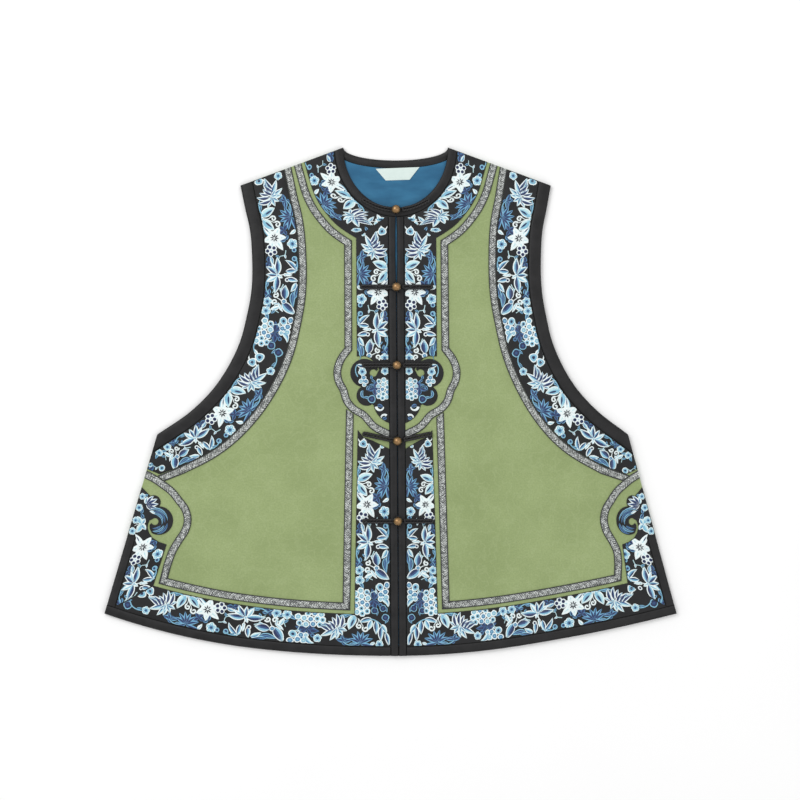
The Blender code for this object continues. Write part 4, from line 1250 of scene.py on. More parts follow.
def mixed(first, second, share):
    """Mix two colours."""
    return np.asarray(first) * (1 - share) + np.asarray(second) * share


def gridded(lines, heights, flats, colours):
    """Join a shape's lines of points, with their heights and flat places, into one grid."""
    levels = [np.broadcast_to(height, len(line)) for line, height in zip(lines, heights)]
    grid = [np.column_stack([line, level]) for line, level in zip(lines, levels)]
    return np.stack(grid, axis=1), np.array(colours), np.stack(flats, axis=1)


def petal(start, angle, length, width, look, bend=0.0, blunt=False):
    """Draw a petal or leaf in padded satin stitch, with a raised rim round its filling."""
    u = np.linspace(0.0, 1.0, PETAL_STATIONS)
    heading = np.radians(angle + bend * (u - 0.5))
    moves = circle(heading) * (length / (PETAL_STATIONS - 1))
    steps = np.vstack([[0.0, 0.0], (moves[1:] + moves[:-1]) / 2])
    middle = np.asarray(start, float) + np.cumsum(steps, axis=0)
    normal = sideways(circle(heading))
    if blunt:
        profile = np.sqrt(np.clip(1 - (2 * u**BLUNT_POWER - 1) ** 2, 0.0, 1.0))
    else:
        profile = np.sin(np.pi * u**POINTED_POWER) ** POINTED_POWER
    half = np.maximum(0.5 * width * WIDEN * profile, LEAST_HALF)
    inner = np.maximum(1.0 - RIM / half, LEAST_FILL)
    outer = np.ones_like(u)
    columns = (-outer, -inner, FILL_PARTS[0] * inner, FILL_PARTS[1] * inner, inner, outer)
    swell = END_SWELL + (1 - END_SWELL) * np.sin(np.pi * np.clip(u, *SWELL_WITHIN)) ** 0.5
    rim, first, core, second, tip = LOOKS[look]
    colours = []
    for share in (u[1:] + u[:-1]) / 2:
        pale = smooth_step((share - TIP_FROM) / (1 - TIP_FROM))
        colours.append([rim, *(mixed(part, tip, pale) for part in (first, core, second)), rim])
    return gridded(
        [middle + normal * (column * half)[:, None] for column in columns],
        (SUNK, RIM_RISE * swell, FILL_RISE * swell, FILL_RISE * swell, RIM_RISE * swell, SUNK),
        [np.column_stack([u * length, column * half]) for column in columns],
        colours,
    )


def disc(centre, radius, look, lobes=0, wave=0.0, turn=0.0, raised=0.0):
    """Draw a round bud or floret with a rim, a filling and a middle."""
    angles = np.linspace(0.0, 2 * np.pi, DISC_STEPS + 1)
    edge = radius * (1.0 + wave * np.cos(lobes * angles + turn))
    fill = max(1.0 - RIM / radius, LEAST_DISC_FILL)
    shares = (1.0, fill, fill * DISC_MIDDLE, 0.0)
    return gridded(
        [np.asarray(centre, float) + circle(angles) * (edge * share)[:, None] for share in shares],
        np.add((SUNK, RIM_RISE, FILL_RISE, FILL_RISE * DISC_RISE), raised),
        [np.column_stack([angles * radius, np.full(len(angles), share * radius)]) for share in shares],
        [LOOKS[look][:3]] * DISC_STEPS,
    )


def stroke(points, width, colour, end=0.5):
    """Draw a stem or a curl in stem stitch along a line."""
    points = np.asarray(points, float)
    headings = np.gradient(points, axis=0)
    headings /= np.maximum(np.linalg.norm(headings, axis=1), 1e-9)[:, None]
    normal = sideways(headings)
    half = 0.5 * width * (1.0 - (1.0 - end) * np.linspace(0.0, 1.0, len(points)))
    along = distances(points)
    columns = (-1.0, -0.5, 0.5, 1.0)
    return gridded(
        [points + normal * (column * half)[:, None] for column in columns],
        (SUNK, RIM_RISE, RIM_RISE, SUNK),
        [np.column_stack([along, column * half]) for column in columns],
        [[colour] * 3] * (len(points) - 1),
    )


def spiral(centre, radius, first, turns=1.15):
    """Draw a butterfly's curled feeler."""
    count, wound, width, end = FEELER
    share = np.linspace(0.0, 1.0, count)
    angles = np.radians(first) + turns * 2 * np.pi * share
    reach = radius * (1.0 - wound * share)
    return stroke(np.asarray(centre, float) + circle(angles) * reach[:, None], width, WHITE, end)


def stem(points, width=1.0, colour=WHITE):
    """Draw a stem through a few points."""
    return stroke(spline(points, STEM_STEP), width, colour, STEM_END)


def petals(look, *rows):
    """Draw petals of one look: x, y, angle, length, width, bend."""
    return [petal(row[:2], *row[2:5], look, *row[5:]) for row in rows]


def fan(look, *rows, start=(0.0, 0.0)):
    """Draw petals that spread from one point: angle, length, width, bend."""
    return petals(look, *((*start, *row) for row in rows))


def around(reach, degrees):
    """Return a place at a distance and an angle from a motif's middle."""
    angle = math.radians(degrees)
    return np.array([reach * math.cos(angle), reach * math.sin(angle)])


def ring_of_petals(count, reach, length, width, look, turn, blunt=True):
    """Draw petals set in a ring."""
    angles = [turn + 360.0 * number / count for number in range(count)]
    return [petal(around(reach, angle), angle, length, width, look, blunt=blunt) for angle in angles]


def florets():
    """Draw a cluster of pale florets, some with a dark eye."""
    shapes = []
    for number, place in enumerate(FLORETS):
        look = "pale" if number % 4 == 2 else "floret"
        shapes.append(disc(place, FLORET_RADIUS, look, 5, 0.07, number * FLORET_TURN))
        if number in DARK_FLORETS:
            shapes.append(disc(place, FLORET_EYE, "eye", raised=0.2))
    return shapes


# Motifs, with x along the ribbon and y across it, in millimetres. Later shapes lie on earlier ones.
MOTIFS = {
    "lotus": [
        *fan(
            "crown",
            (309, 11.5, 4.4, -30), (346, 12.5, 4.6, -14), (28, 14, 4.4, 20), (268, 14, 4.4, -34),
            (243, 17.5, 4.6, -24), (209, 21.5, 5.2, -12), (172, 23.5, 5.2, 12),
            start=LOTUS_HEART,
        ),
        *petals(
            "crescent",
            (-2.6, -4.4, 154, 17, 4.2, 44), (0.2, -4, 140, 16.5, 4.2, 50), (3.4, -3, 130, 15, 4.2, 54),
            (2.4, 2.6, 112, 11.5, 3.8, 50), (5.2, 1.6, 98, 16.5, 4.4, 52), (8.8, 0.8, 86, 17, 4.4, 52),
        ),
        *fan("inner", (226, 11, 3.4, -20), (262, 9.5, 3.2, -20), start=LOTUS_HEART),
        disc((4.2, -0.6), 1.9, "white"),
    ],
    "small_lotus": [
        *fan(
            "crescent",
            (-62, 11, 3.8, 50), (-40, 14, 4.2, 40), (-18, 15.5, 4.4, 24), (6, 15.5, 4.4, -4),
            (30, 14, 4.2, -30),
            start=(-6, 0),
        ),
        petal((-7, 0.5), 56, 10, 3.8, "crown", -40),
    ],
    "leaf_spray": fan(
        "leaf",
        (186, 14, 3.8, -30), (-6, 16, 3.8, 24), (158, 15.5, 3.8, 26), (132, 16, 3.8, 18),
        (104, 15.5, 3.8, 8), (76, 15, 3.8, -8), (48, 16, 3.8, -18), (22, 16.5, 3.8, -26),
        start=(0, -2),
    ),
    "leaf_pair": fan("leaf", (165, 9, 4, 14), (120, 8, 3.8, 0), (10, 9.5, 3.6, -10)),
    "butterfly": [
        *petals("pale", (-2.5, 6, 160, 9, 4.6), (-1.5, 7, 62, 7, 4.4)),
        *petals(
            "wing",
            (0.5, 6, 22, 10, 4.4), (-3.3, 6.6, -113, 19.5, 8, 20), (0.2, 5.8, -36, 18.5, 7.8, -16),
        ),
        *petals("spindle", (-4.6, 2, -112, 11.5, 3.2, 14), (3.2, 3.4, -38, 11.5, 3.2, -12)),
        disc((-1.2, 6.6), 2.4, "white"),
        spiral((1.4, -6.6), 3.5, 120),
        spiral((9.2, -9.8), 4, 140),
        stem(((-0.6, 4.4), (0.6, 0), (-0.6, -3.4)), 1.3),
        stem(((0.4, 3), (3.4, -2.6), (6.2, -6.8)), 1.3),
    ],
    "butterfly_small": [
        *petals("wing", (0, 0, -30, 13, 6.2, -12), (0, 0, -150, 12, 6, 12)),
        *petals("pale", (0, 0.5, 35, 9, 5), (0, 0.5, 150, 8.5, 4.6)),
        disc((0, 0), 2.4, "white"),
        stem(((0, -1.5), (0.5, -6), (2.5, -9)), 0.9),
    ],
    "butterfly_long": [
        *petals("orchid", (-1, 0, 174, 17.5, 8, 12), (2.5, 3, -54, 21.5, 8.4, -14)),
        *petals("white", (3.4, 7.6, -34, 13, 3.2, -20), (8.5, 5.5, 66, 11, 4.4, 10)),
        disc((1.5, 1), 3.4, "pale"),
        spiral((-4.6, 11.6), 3.4, 200),
        spiral((3.4, 11.4), 3.4, 20, 1.1),
        stem(((1, 4), (-0.8, 7), (-1.6, 9.4)), 1.3),
    ],
    "star": [
        *fan("star", (-89, 14, 6.6), (-30, 18, 6.2), (22, 15, 6.6), (78, 14, 6.6), (140, 21.5, 5.4)),
        *fan("star", (-152, 14.5, 6.6)),
        disc((0, 0), 8.4, "heart", 6, 0.07, 1),
        petal((-7.2, 6), 140, 8.5, 1.7, "spindle"),
        *ring_of_petals(8, 0.7, 4.6, 1.7, "eye", 12, blunt=False),
    ],
    "plum": [
        *(disc(around(4.4, 72 * number - 60), 3.3, "plum") for number in range(5)),
        disc((0, 0), 1.9, "white"),
    ],
    "blossom": [*ring_of_petals(5, 0.7, 5, 4.6, "bloom", -54), disc((0, 0), 2.2, "spot", raised=0.35)],
    "blossom_leafy": [
        *fan("blue", (200, 10.5, 3.6, 24), (-28, 10.5, 3.6, -24)),
        *ring_of_petals(5, 0.7, 4.9, 4.4, "bloom", -18),
        disc((0, 0), 2, "spot", raised=0.35),
    ],
    "orchid": [
        stem(((-11, 14.5), (-6, 17), (2, 17.4), (10, 16), (16, 12.6)), 1.7, SKY),
        stem(((0.4, 0), (-0.4, -5), (-2, -9)), 1.6),
        petal((0, 1), 126, 17.5, 5.2, "orchid", -22),
        petal((1, 1), 62, 15, 4.6, "white", 16),
        petal((0.4, 1), 92, 13.5, 4.6, "orchid", -8),
        petal((-0.2, 1), 152, 17, 4, "white", -18),
        *petals("orchid", (-0.5, 1, 178, 21, 6.2, -20), (1, 1, 8, 21.5, 6.4, 20)),
        petal((0.4, 0.4), -62, 6.5, 3, "white"),
        disc((0.4, 0.4), 2.4, "white"),
    ],
    "bell": [
        petal((-5, -6), 132, 18.5, 4.8, "bell", -50),
        petal((9.5, -6), 30, 13, 4.8, "pale", 30),
        *petals("bell", (5.4, 5.8, -80, 14.5, 5, 22), (-3.8, 6.4, -98, 14.5, 5, -14)),
        petal((0.4, 7.5), -90, 9, 3, "white"),
        disc((6.4, 4.6), 2.6, "plum"),
        disc((0.4, 6.8), 2, "white"),
    ],
    "hydrangea": florets(),
    "peony": [
        disc((-3.6, -2.4), 4, "pale", 3, 0.06),
        disc((3, -3.2), 3.8, "floret", 3, 0.06, 1),
        disc((-0.4, 3.2), 3.8, "pale", 3, 0.06, 2),
        disc((5, 3.4), 3.2, "floret", 3, 0.06, 0.5),
        disc((0.6, 0), 2, "blue_bud"),
    ],
    "bud": [
        stem(((-1, -3), (3, -8), (9, -9.5)), 1.8),
        petal((4, -8), -30, 9, 3.4, "inner", -20),
        disc((0, 0), 5.2, "bud", 3, 0.1, 2.4),
    ],
    "bud_small": [disc((0, 0), 2.9, "blue_bud")],
    "blue_bud": [disc((0, 0), 5.3, "deep_bud", 4, 0.05, 0.6), petal((-3.4, 3.6), 30, 8, 2.6, "blue", 20)],
    "stemmed_bud": [
        stem(((3, 4), (7, 9), (2, 13), (-7, 14.6)), 1.8),
        *petals("white", (4, 6, 12, 9.5, 3.8, 24), (-1.5, 3.5, 130, 8, 3.2, -12)),
        disc((0, 0), 5.6, "bud", 3, 0.1, 0.8),
    ],
    "twin_lobes": [disc((-1, -4.6), 4, "pale", 2, 0.1), disc((1.4, 3.2), 5, "bud", 2, 0.1, 1)],
    "curl_leaf": [petal((-7, 3.4), -42, 15.5, 5, "pale", 96), disc((0.8, 3.4), 2.6, "navy")],
    "arc_leaf": petals("blue", (-13, -0.6, 6, 19, 5.2, 44), (-4, 3, -12, 19, 5, -30)),
    "pale_leaf": petals("pale", (-7, 0, 0, 14, 5, 16)),
    "petal_bit": petals("white", (-4, -3.5, 46, 9, 3.6, 30)),
    "blue_leaf": fan("leaf", (20, 9, 4, 10), (150, 8, 3.6, -10)),
    "navy_patch": fan("navy", (0, 10, 5, 10), (70, 9, 4.6, 0), (150, 9.5, 5, -10), (-80, 8.5, 4.4, 0)),
    "rose_leaves": fan(
        "navy",
        (-6, 14, 5.4, 20), (38, 12, 5, 16), (170, 14, 5.4, -20), (214, 11, 4.8, 16), (-50, 10, 4.6, 0),
    ),
    "hook": [
        petal((-4, 1), 0, 8.5, 4, "navy", -30),
        stroke(circle(np.radians(np.linspace(200.0, 380.0, 12))) * (5.0, 4.6), 4, WHITE, 0.4),
    ],
    "cloud_petal": [
        stem(((9, -6), (3, -8.6), (-3, -8.4), (-7, -6.4)), 1.7, SKY),
        petal((-6.4, -7), 78, 13, 4.4, "orchid", 16),
    ],
    "dark_hook": petals("blue", (-5, -4, 40, 14, 3.6, 120)),
    "round_bud": [petal((3, -1), -10, 8, 3, "blue", 20), disc((0, 0), 5.4, "deep_bud", 3, 0.05)],
    "corner_spray": [
        stem(((16, -2), (4, -6), (-8, 0), (-15, 12), (-18, 26)), 1.7, SKY),
        petal((2, -6), 14, 18, 5.2, "bell", 30),
        petal((3, -5), 66, 15, 5.6, "pale", -20),
        petal((-2, -4), 92, 18, 6, "bell", -16),
        petal((-9, 1), 122, 14, 5, "pale", -30),
        *petals("orchid", (-10, 3, 88, 20, 5.8, 24), (-15, 11, 104, 19, 5, -10)),
    ],
    "edge_arc": [
        stem(((-12, 3), (-6, -0.6), (0, -1.6), (6, -0.6), (12, 3)), 1.8, SKY),
        petal((-3, -1), 24, 8.5, 2.6, "blue", 20),
    ],
    "tendril": [
        stem(((-9, 2.5), (-3, -1.5), (3, 1.5), (9, -2)), 1.5, PALE),
        petal((-4, -0.5), -62, 6.5, 2.6, "pale"),
        petal((4, 1), 64, 6.5, 2.6, "blue"),
    ],
}


# Sewing the motifs on


def clear_of(points, outline):
    """Say which points lie inside an outline, clear of its edge."""
    return inside(points, outline) & (distance_to(points, outline) > STITCH_MARGIN)


def held_in(points, centre, outline):
    """Bring points that lie outside an outline back to its edge."""
    out = np.flatnonzero(~clear_of(points, outline))
    reach = points[out] - centre
    low = np.zeros(len(out))
    high = np.ones(len(out))
    for _ in range(HOLD_ROUNDS if len(out) else 0):
        share = (low + high) / 2
        good = clear_of(centre + reach * share[:, None], outline)
        low = np.where(good, share, low)
        high = np.where(good, high, share)
    moved = points.copy()
    moved[out] = centre + reach * low[:, None]
    return moved


class Needle:
    """Gathers the embroidered shapes of one ribbon and sews them as one piece."""

    def __init__(self, side, outline, holes=()):
        self.side = side
        self.outline = outline
        self.holes = holes
        self.points = []
        self.faces = []
        self.colours = []
        self.flats = []
        self.count = 0
        self.stops_at = LENGTH

    def sew(self, motif, centre, along, across, size, turn):
        """Place one motif, with its x along and its y across in cut coordinates."""
        for order, (grid, colours, flats) in enumerate(MOTIFS[motif]):
            flat = turned(grid.reshape(-1, 3)[:, :2], turn) * size
            flat = np.asarray(centre) + flat[:, :1] * along + flat[:, 1:2] * across
            lift = UNDERLAY if motif in UNDER else SHAPE_LIFT * order
            self.lay(flat, grid, colours, flats, lift)

    def lay(self, flat, grid, colours, flats, lift=0.0):
        """Lay one shape at its place in cut coordinates, if its middle lies on the ribbon."""
        middle = flat.mean(axis=0)
        if middle[1] > self.stops_at or not clear_of(middle[None], self.outline)[0]:
            return
        if any(inside(middle[None], hole)[0] for hole in self.holes):
            return
        places = laid(held_in(flat, middle, self.outline) * (self.side, 1.0))
        height = front_height(places) + RIBBON[1] + grid.reshape(-1, 3)[:, 2] + lift
        n = np.arange(len(flat)).reshape(grid.shape[:2])
        quads = np.stack([n[:-1, :-1], n[1:, :-1], n[1:, 1:], n[:-1, 1:]], axis=-1).reshape(-1, 4)
        if area_of(places, quads[:, :3]).sum() + area_of(places, quads[:, [0, 2, 3]]).sum() < 0:
            quads = quads[:, ::-1]
        self.faces.append(quads + self.count)
        self.flats.append(flats.reshape(-1, 2) + [len(self.points) * STITCH_SHIFT, 0.0])
        self.points.append(np.column_stack([places, height]))
        self.colours.append(colours.reshape(-1, 3))
        self.count += len(flat)

    def finish(self, name):
        """Make the piece."""
        faces = np.vstack(self.faces).tolist()
        piece = new_piece(name, "ribbon_satin", np.vstack(self.points), faces, np.vstack(self.flats))
        piece.data.materials[0] = bpy.data.materials["look_silk_thread"]
        colours = linear(np.repeat(np.vstack(self.colours), 4, axis=0))
        layer = piece.data.color_attributes.new("thread", "FLOAT_COLOR", "CORNER")
        layer.data.foreach_set("color", np.column_stack([colours, np.ones(len(colours))]).ravel())


def linear(colours):
    """Turn colours as shown on a screen into light."""
    colours = np.asarray(colours, float)
    return np.where(colours <= 0.04045, colours / 12.92, ((colours + 0.055) / 1.055) ** 2.4)


def sew_repeat(needle, first, second, lotus_at, low=NO_START, high=NO_END):
    """Sew the ribbon's repeat along two matching edges, from the leaf side to the other."""
    middle = (first + second) / 2
    at = distances(middle)
    length = at[-1]
    for number in range(-1, int(length / REPEAT_LENGTH) + 2):
        for motif, along, across, size, turn in REPEAT:
            where = lotus_at + along + number * REPEAT_LENGTH
            if not max(low, -RUN_PAST) <= where <= min(high, length + RUN_PAST):
                continue
            near = np.clip(where, HEADING_REACH, length - HEADING_REACH)
            after = point_at(middle, at, near + HEADING_REACH)
            heading = after - point_at(middle, at, near - HEADING_REACH)
            heading /= np.linalg.norm(heading)
            start = point_at(first, at, where)
            cross = point_at(second, at, where) - start
            width = np.linalg.norm(cross)
            cross = cross / width
            overshoot = where - np.clip(where, 0.0, length)
            centre = start + cross * across * width / RIBBON_WIDTH + heading * overshoot
            share = min(1.0, width / RIBBON_WIDTH)
            needle.sew(motif, centre, heading, cross, size * share * MOTIF_SIZE, turn)


def sew_rows(needle, rows, place=lambda out, drop: (out, drop)):
    """Sew motifs at their own places, with x away from the opening and y down."""
    for motif, out, drop, size, turn in rows:
        needle.sew(motif, place(out, drop), np.array([1.0, 0.0]), np.array([0.0, 1.0]), size, turn)


def run_on(curve, distance):
    """Lengthen a curve past its last point."""
    heading = curve[-1] - curve[-2]
    return np.vstack([curve, curve[-1] + heading / np.linalg.norm(heading) * distance])


def armhole_work(side):
    """Embroider an armhole ribbon."""
    needle = Needle(side, armhole_outline(side))
    inner = run_on(armhole_line(side, ARMHOLE_RIBBON, ARMHOLE_NARROWING), ARMHOLE_RUN_ON)
    outer = run_on(armhole_line(side, ARMHOLE_BINDING + SEAM), ARMHOLE_RUN_ON)
    sew_repeat(needle, inner, outer, ARMHOLE_LOTUS)
    return needle


def neck_work(side):
    """Embroider a neck ribbon."""
    needle = Needle(side, neck_outline(side))
    inner = resampled(neck_line(FRONT_NECK_DROP, NECK_BINDING + SEAM, START), SHORT_EDGE_POINTS)
    outer = resampled(trimmed(spline(NECK_RIBBON, RIBBON_GRID), SHOULDER_LINE)[::-1], SHORT_EDGE_POINTS)
    sew_repeat(needle, outer, inner, NECK_LOTUS)
    sew_rows(needle, NECK_END)
    return needle


def chest_work(side):
    """Embroider a chest ribbon and its cloud head."""
    needle = Needle(side, chest_outline(side), [on_side(LEFT, arc(*CHEST_EYE), CHEST_EYE_TAIL)])
    drops = np.linspace(CHEST_TOP, LENGTH, EDGE_POINTS)
    needle.stops_at = CHEST_RIBBON_END + CHEST_REPEAT_PAST
    sew_repeat(needle, down(CHEST_RIBBON, drops), down(START, drops), CHEST_LOTUS, high=CHEST_REPEAT_END)
    needle.stops_at = LENGTH
    sew_rows(needle, CHEST_HEAD)
    return needle


def corner_outline(side):
    """Return the skirt ribbon's outline carried on over the mitre, for the leafy branch."""
    outline = skirt_outline(side)
    inner, outer = mitre_at_hem(side, 0.0)
    low = inner + CORNER_REACH
    end = (low[0] - CORNER_WIDTH, outer[1] - CORNER_RISE)
    return np.vstack([outline[:-2], outer - [0.0, MITRE_RISE], end, low, inner])


def skirt_work(side):
    """Embroider a skirt ribbon."""
    needle = Needle(side, corner_outline(side))
    drops = np.linspace(SKIRT_TOP, LENGTH, EDGE_POINTS)
    outer = down(skirt_edge(side, drops), drops)
    sew_repeat(needle, down(START, drops), outer, SKIRT_LOTUS, high=SKIRT_REPEAT_END)
    sew_rows(needle, SKIRT_CORNER)
    return needle


def hem_work(side):
    """Embroider a hem ribbon, from the side to the opening."""
    needle = Needle(side, hem_outline(side))
    lower = resampled(hem_line(side, HEM_BINDING, FRONT_BINDING, SIDE_BINDING)[::-1], EDGE_POINTS)
    upper = resampled(hem_line(side, HEM_RIBBON, FRONT_BINDING, SIDE_BINDING)[::-1], EDGE_POINTS)
    length = distances((lower + upper) / 2)[-1]
    second = length - HEM_SECOND_FROM_OPENING
    turn = second - HEM_BREAK
    sew_repeat(needle, lower, upper, length - HEM_LOTUS_FROM_OPENING, high=turn)
    sew_repeat(needle, lower, upper, second, turn, length - HEM_REPEAT_END)
    sew_rows(needle, HEM_CORNER)
    return needle


def side_work(side):
    """Embroider a side ribbon and its curled cloud head."""
    needle = Needle(side, side_outline(side))
    drops = np.linspace(SIDE_LOTUS_DROP, CORNER_DROP, SHORT_EDGE_POINTS)
    inner = down(seam_at(drops, SIDE_RIBBON), drops)
    sew_repeat(needle, inner, down(seam_at(drops, SIDE_BINDING), drops), 0.0, SIDE_REPEAT_START)
    sew_rows(needle, SIDE_HEAD, lambda away, drop: pulled(side, (seam_at(drop, away), drop))[0])
    sew_feathers(needle, pulled(side, SIDE_EYE[:2])[0])
    return needle


def sew_feathers(needle, centre):
    """Sew the feathery strokes that sweep round the eye of the side cloud."""
    for radius, first, last, width, look in SIDE_FEATHERS:
        reach = radius * math.radians(last - first)
        grid, colours, flats = petal((0.0, 0.0), 0.0, reach, width, look)
        flat = grid.reshape(-1, 3)[:, :2]
        angles = np.radians(first) + flat[:, 0] / radius
        away = circle(angles) * (radius - flat[:, 1:])
        needle.lay(centre + away * (1.0, -1.0), grid, colours, flats)


def embroidery():
    """Embroider every ribbon."""
    works = {
        "armhole": armhole_work,
        "neck": neck_work,
        "chest": chest_work,
        "skirt": skirt_work,
        "hem": hem_work,
        "side": side_work,
    }
    for name, work in works.items():
        for letter, side in SIDES:
            work(side).finish(f"embroidery_{name}_{letter}")


# Looks of the materials


def tone(colour):
    """Return a colour as shown on a screen as a shader colour."""
    return (*linear(colour).tolist(), 1.0)


def feed(socket, value):
    """Link a socket to another, or set its value."""
    if isinstance(value, bpy.types.NodeSocket):
        socket.id_data.links.new(value, socket)
    else:
        socket.default_value = value


class Material:
    """Builds a Principled material from procedural values on a piece's flat coordinates."""

    def __init__(self, name, coordinates="UV", **values):
        self.material = bpy.data.materials.new("look_" + name)
        self.material.use_nodes = True
        self.tree = self.material.node_tree
        self.shader = self.tree.nodes["Principled BSDF"]
        for key, value in values.items():
            self.shader.inputs[key.replace("_", " ")].default_value = value
        self.place = self.add("TexCoord").outputs[coordinates]

    def add(self, kind, inputs=None, **settings):
        """Add a shader node with its inputs and settings."""
        made = self.tree.nodes.new("ShaderNode" + kind)
        for name, value in settings.items():
            setattr(made, name, value)
        for name, value in (inputs or {}).items():
            feed(made.inputs[name], value)
        return made

    def sums(self, operation, first, second=0.0, third=0.0):
        """Add a sum on one, two or three values."""
        return self.add("Math", {0: first, 1: second, 2: third}, operation=operation).outputs[0]

    def blended(self, share, first, second):
        """Blend two colours by a share."""
        first, second = (tone(one) if isinstance(one, tuple) else one for one in (first, second))
        return self.add("Mix", {0: share, 6: first, 7: second}, data_type="RGBA").outputs[2]

    def noise(self, scale, detail=3.0, stretch=(1.0, 1.0, 1.0)):
        """Add cloudy noise with features about a scale-th of a metre wide."""
        mapped = self.add("Mapping", {"Vector": self.place, "Scale": stretch}).outputs[0]
        return self.add("TexNoise", {"Vector": mapped, "Scale": scale, "Detail": detail}).outputs[0]

    def bands(self, period, direction="X", distortion=0.0):
        """Add fine bands a period in metres apart."""
        inputs = {"Vector": self.place, "Scale": 2 * math.pi / (20 * period), "Distortion": distortion}
        inputs["Detail Scale"] = 2.0
        return self.add("TexWave", inputs, bands_direction=direction).outputs[1]

    def weave(self, period):
        """Add crossing threads a period in metres apart."""
        return self.sums("MULTIPLY", self.bands(period, "X"), self.bands(period, "Y"))

    def eased(self, value, low, high, first=0.0, last=1.0):
        """Ease a value from one range to another."""
        inputs = {0: value, 1: low, 2: high, 3: first, 4: last}
        return self.add("MapRange", inputs, interpolation_type="SMOOTHSTEP").outputs[0]

    def spread(self, noise, first=0.0, last=1.0):
        """Ease a noise to another range."""
        return self.eased(noise, *NOISE_RANGE, first, last)

    def bump(self, height, rise, below=None):
        """Turn a height into a bump, with its rise in millimetres."""
        inputs = {"Height": height, "Distance": rise * MM, "Strength": 1.0}
        if below is not None:
            inputs["Normal"] = below
        return self.add("Bump", inputs).outputs[0]

    def finish(self, colour, rough, normal):
        """Join the colour, the roughness and the bumps to the shader."""
        for name, value in (("Base Color", colour), ("Roughness", rough), ("Normal", normal)):
            feed(self.shader.inputs[name], value)


def green_silk():
    """Sage green silk with a faint tone-on-tone scrolling figure and a fine weave."""
    silk = Material("green_silk", Sheen_Weight=0.06, Sheen_Roughness=0.4)
    lines = silk.sums("ABSOLUTE", silk.sums("SUBTRACT", silk.noise(62.0, 1.0), 0.5))
    figure = silk.eased(lines, 0.012, 0.05, 1.0, 0.0)
    threads = silk.weave(SILK_PITCH)
    streaks = silk.noise(90.0, 3.0, (1.0, 0.1, 1.0))
    ground = silk.blended(silk.spread(silk.noise(14.0, 5.0)), SILK_DARK, SILK_LIGHT)
    ground = silk.blended(silk.sums("MULTIPLY", figure, 0.2), ground, SILK_FIGURE)
    ground = silk.blended(silk.sums("MULTIPLY", streaks, 0.2), ground, SILK_DARK)
    ground = silk.blended(silk.spread(silk.noise(480.0, 2.0), 0.0, 0.34), ground, SILK_SHADOW)
    ground = silk.blended(silk.sums("MULTIPLY", threads, 0.12), ground, SILK_FIGURE)
    low = silk.bump(silk.noise(38.0, 3.0), 0.8)
    normal = silk.bump(silk.sums("ADD", threads, figure), 0.05, low)
    silk.finish(ground, silk.eased(figure, 0.0, 1.0, 0.6, 0.48), normal)


def black_satin():
    """Black satin of the bindings, with a fine rib and soft creases."""
    satin = Material("black_satin", Sheen_Weight=0.03, Specular_IOR_Level=0.28)
    wear = satin.noise(45.0, 4.0)
    base = satin.blended(satin.eased(wear, 0.35, 0.7), *SATIN_TONES)
    folds = satin.bump(satin.noise(120.0, 2.0, (1.0, 0.35, 1.0)), 0.5)
    normal = satin.bump(satin.bands(SATIN_PITCH, "X", 0.3), 0.05, folds)
    satin.finish(base, satin.spread(wear, 0.36, 0.5), normal)


def ribbon_satin():
    """Black satin of the embroidered ribbons."""
    satin = Material("ribbon_satin", Sheen_Weight=0.03, Specular_IOR_Level=0.28)
    wear = satin.noise(30.0, 4.0)
    base = satin.blended(satin.spread(wear), *RIBBON_TONES)
    puckers = satin.bump(satin.noise(90.0, 2.0), 0.35)
    normal = satin.bump(satin.weave(RIBBON_PITCH), 0.05, puckers)
    satin.finish(base, satin.spread(wear, 0.42, 0.56), normal)


def blue_lining():
    """Smooth blue lining with soft creases."""
    lining = Material("blue_lining", Sheen_Weight=0.03, Specular_IOR_Level=0.25)
    threads = lining.weave(LINING_PITCH)
    cloudy = lining.spread(lining.noise(20.0, 3.0, (1.0, 2.2, 1.0)))
    base = lining.blended(cloudy, *LINING_TONES)
    creases = lining.bump(lining.noise(26.0, 4.0, (0.7, 2.4, 1.0)), 1.6)
    lining.finish(base, lining.eased(threads, 0.0, 1.0, 0.46, 0.56), lining.bump(threads, 0.03, creases))


def brocade_braid():
    """Silver-grey brocade braid with a herringbone of light and dark threads between dark edges."""
    gimp = Material("brocade_braid", Sheen_Weight=0.05, Specular_IOR_Level=0.4)
    parts = gimp.add("SeparateXYZ", {0: gimp.place})
    away = gimp.sums("ABSOLUTE", parts.outputs[1])
    slanted = gimp.sums("MULTIPLY_ADD", away, 1.0, parts.outputs[0])
    rows = gimp.sums("PINGPONG", gimp.sums("DIVIDE", slanted, BRAID_PITCH), 0.5)
    speckle = gimp.add("TexVoronoi", {"Vector": gimp.place, "Scale": 440.0, "Randomness": 0.8})
    knots = gimp.eased(speckle.outputs["Distance"], 0.25, 0.6, 1.0, 0.25)
    strong = gimp.eased(gimp.noise(260.0, 2.0), 0.38, 0.62)
    light = gimp.sums("MULTIPLY", gimp.eased(rows, 0.08, 0.34), knots)
    light = gimp.sums("MULTIPLY_ADD", strong, 0.3, gimp.sums("MULTIPLY", light, 0.8))
    colour = gimp.blended(light, *BRAID_TONES)
    edge = gimp.eased(away, *BRAID_EDGE)
    dark_edge = gimp.blended(gimp.bands(BRAID_EDGE_PITCH, "X"), *BRAID_EDGE_TONES)
    colour = gimp.blended(edge, colour, dark_edge)
    normal = gimp.bump(gimp.sums("MAXIMUM", light, edge), 0.35)
    gimp.finish(colour, gimp.eased(light, 0.0, 1.0, 0.65, 0.42), normal)


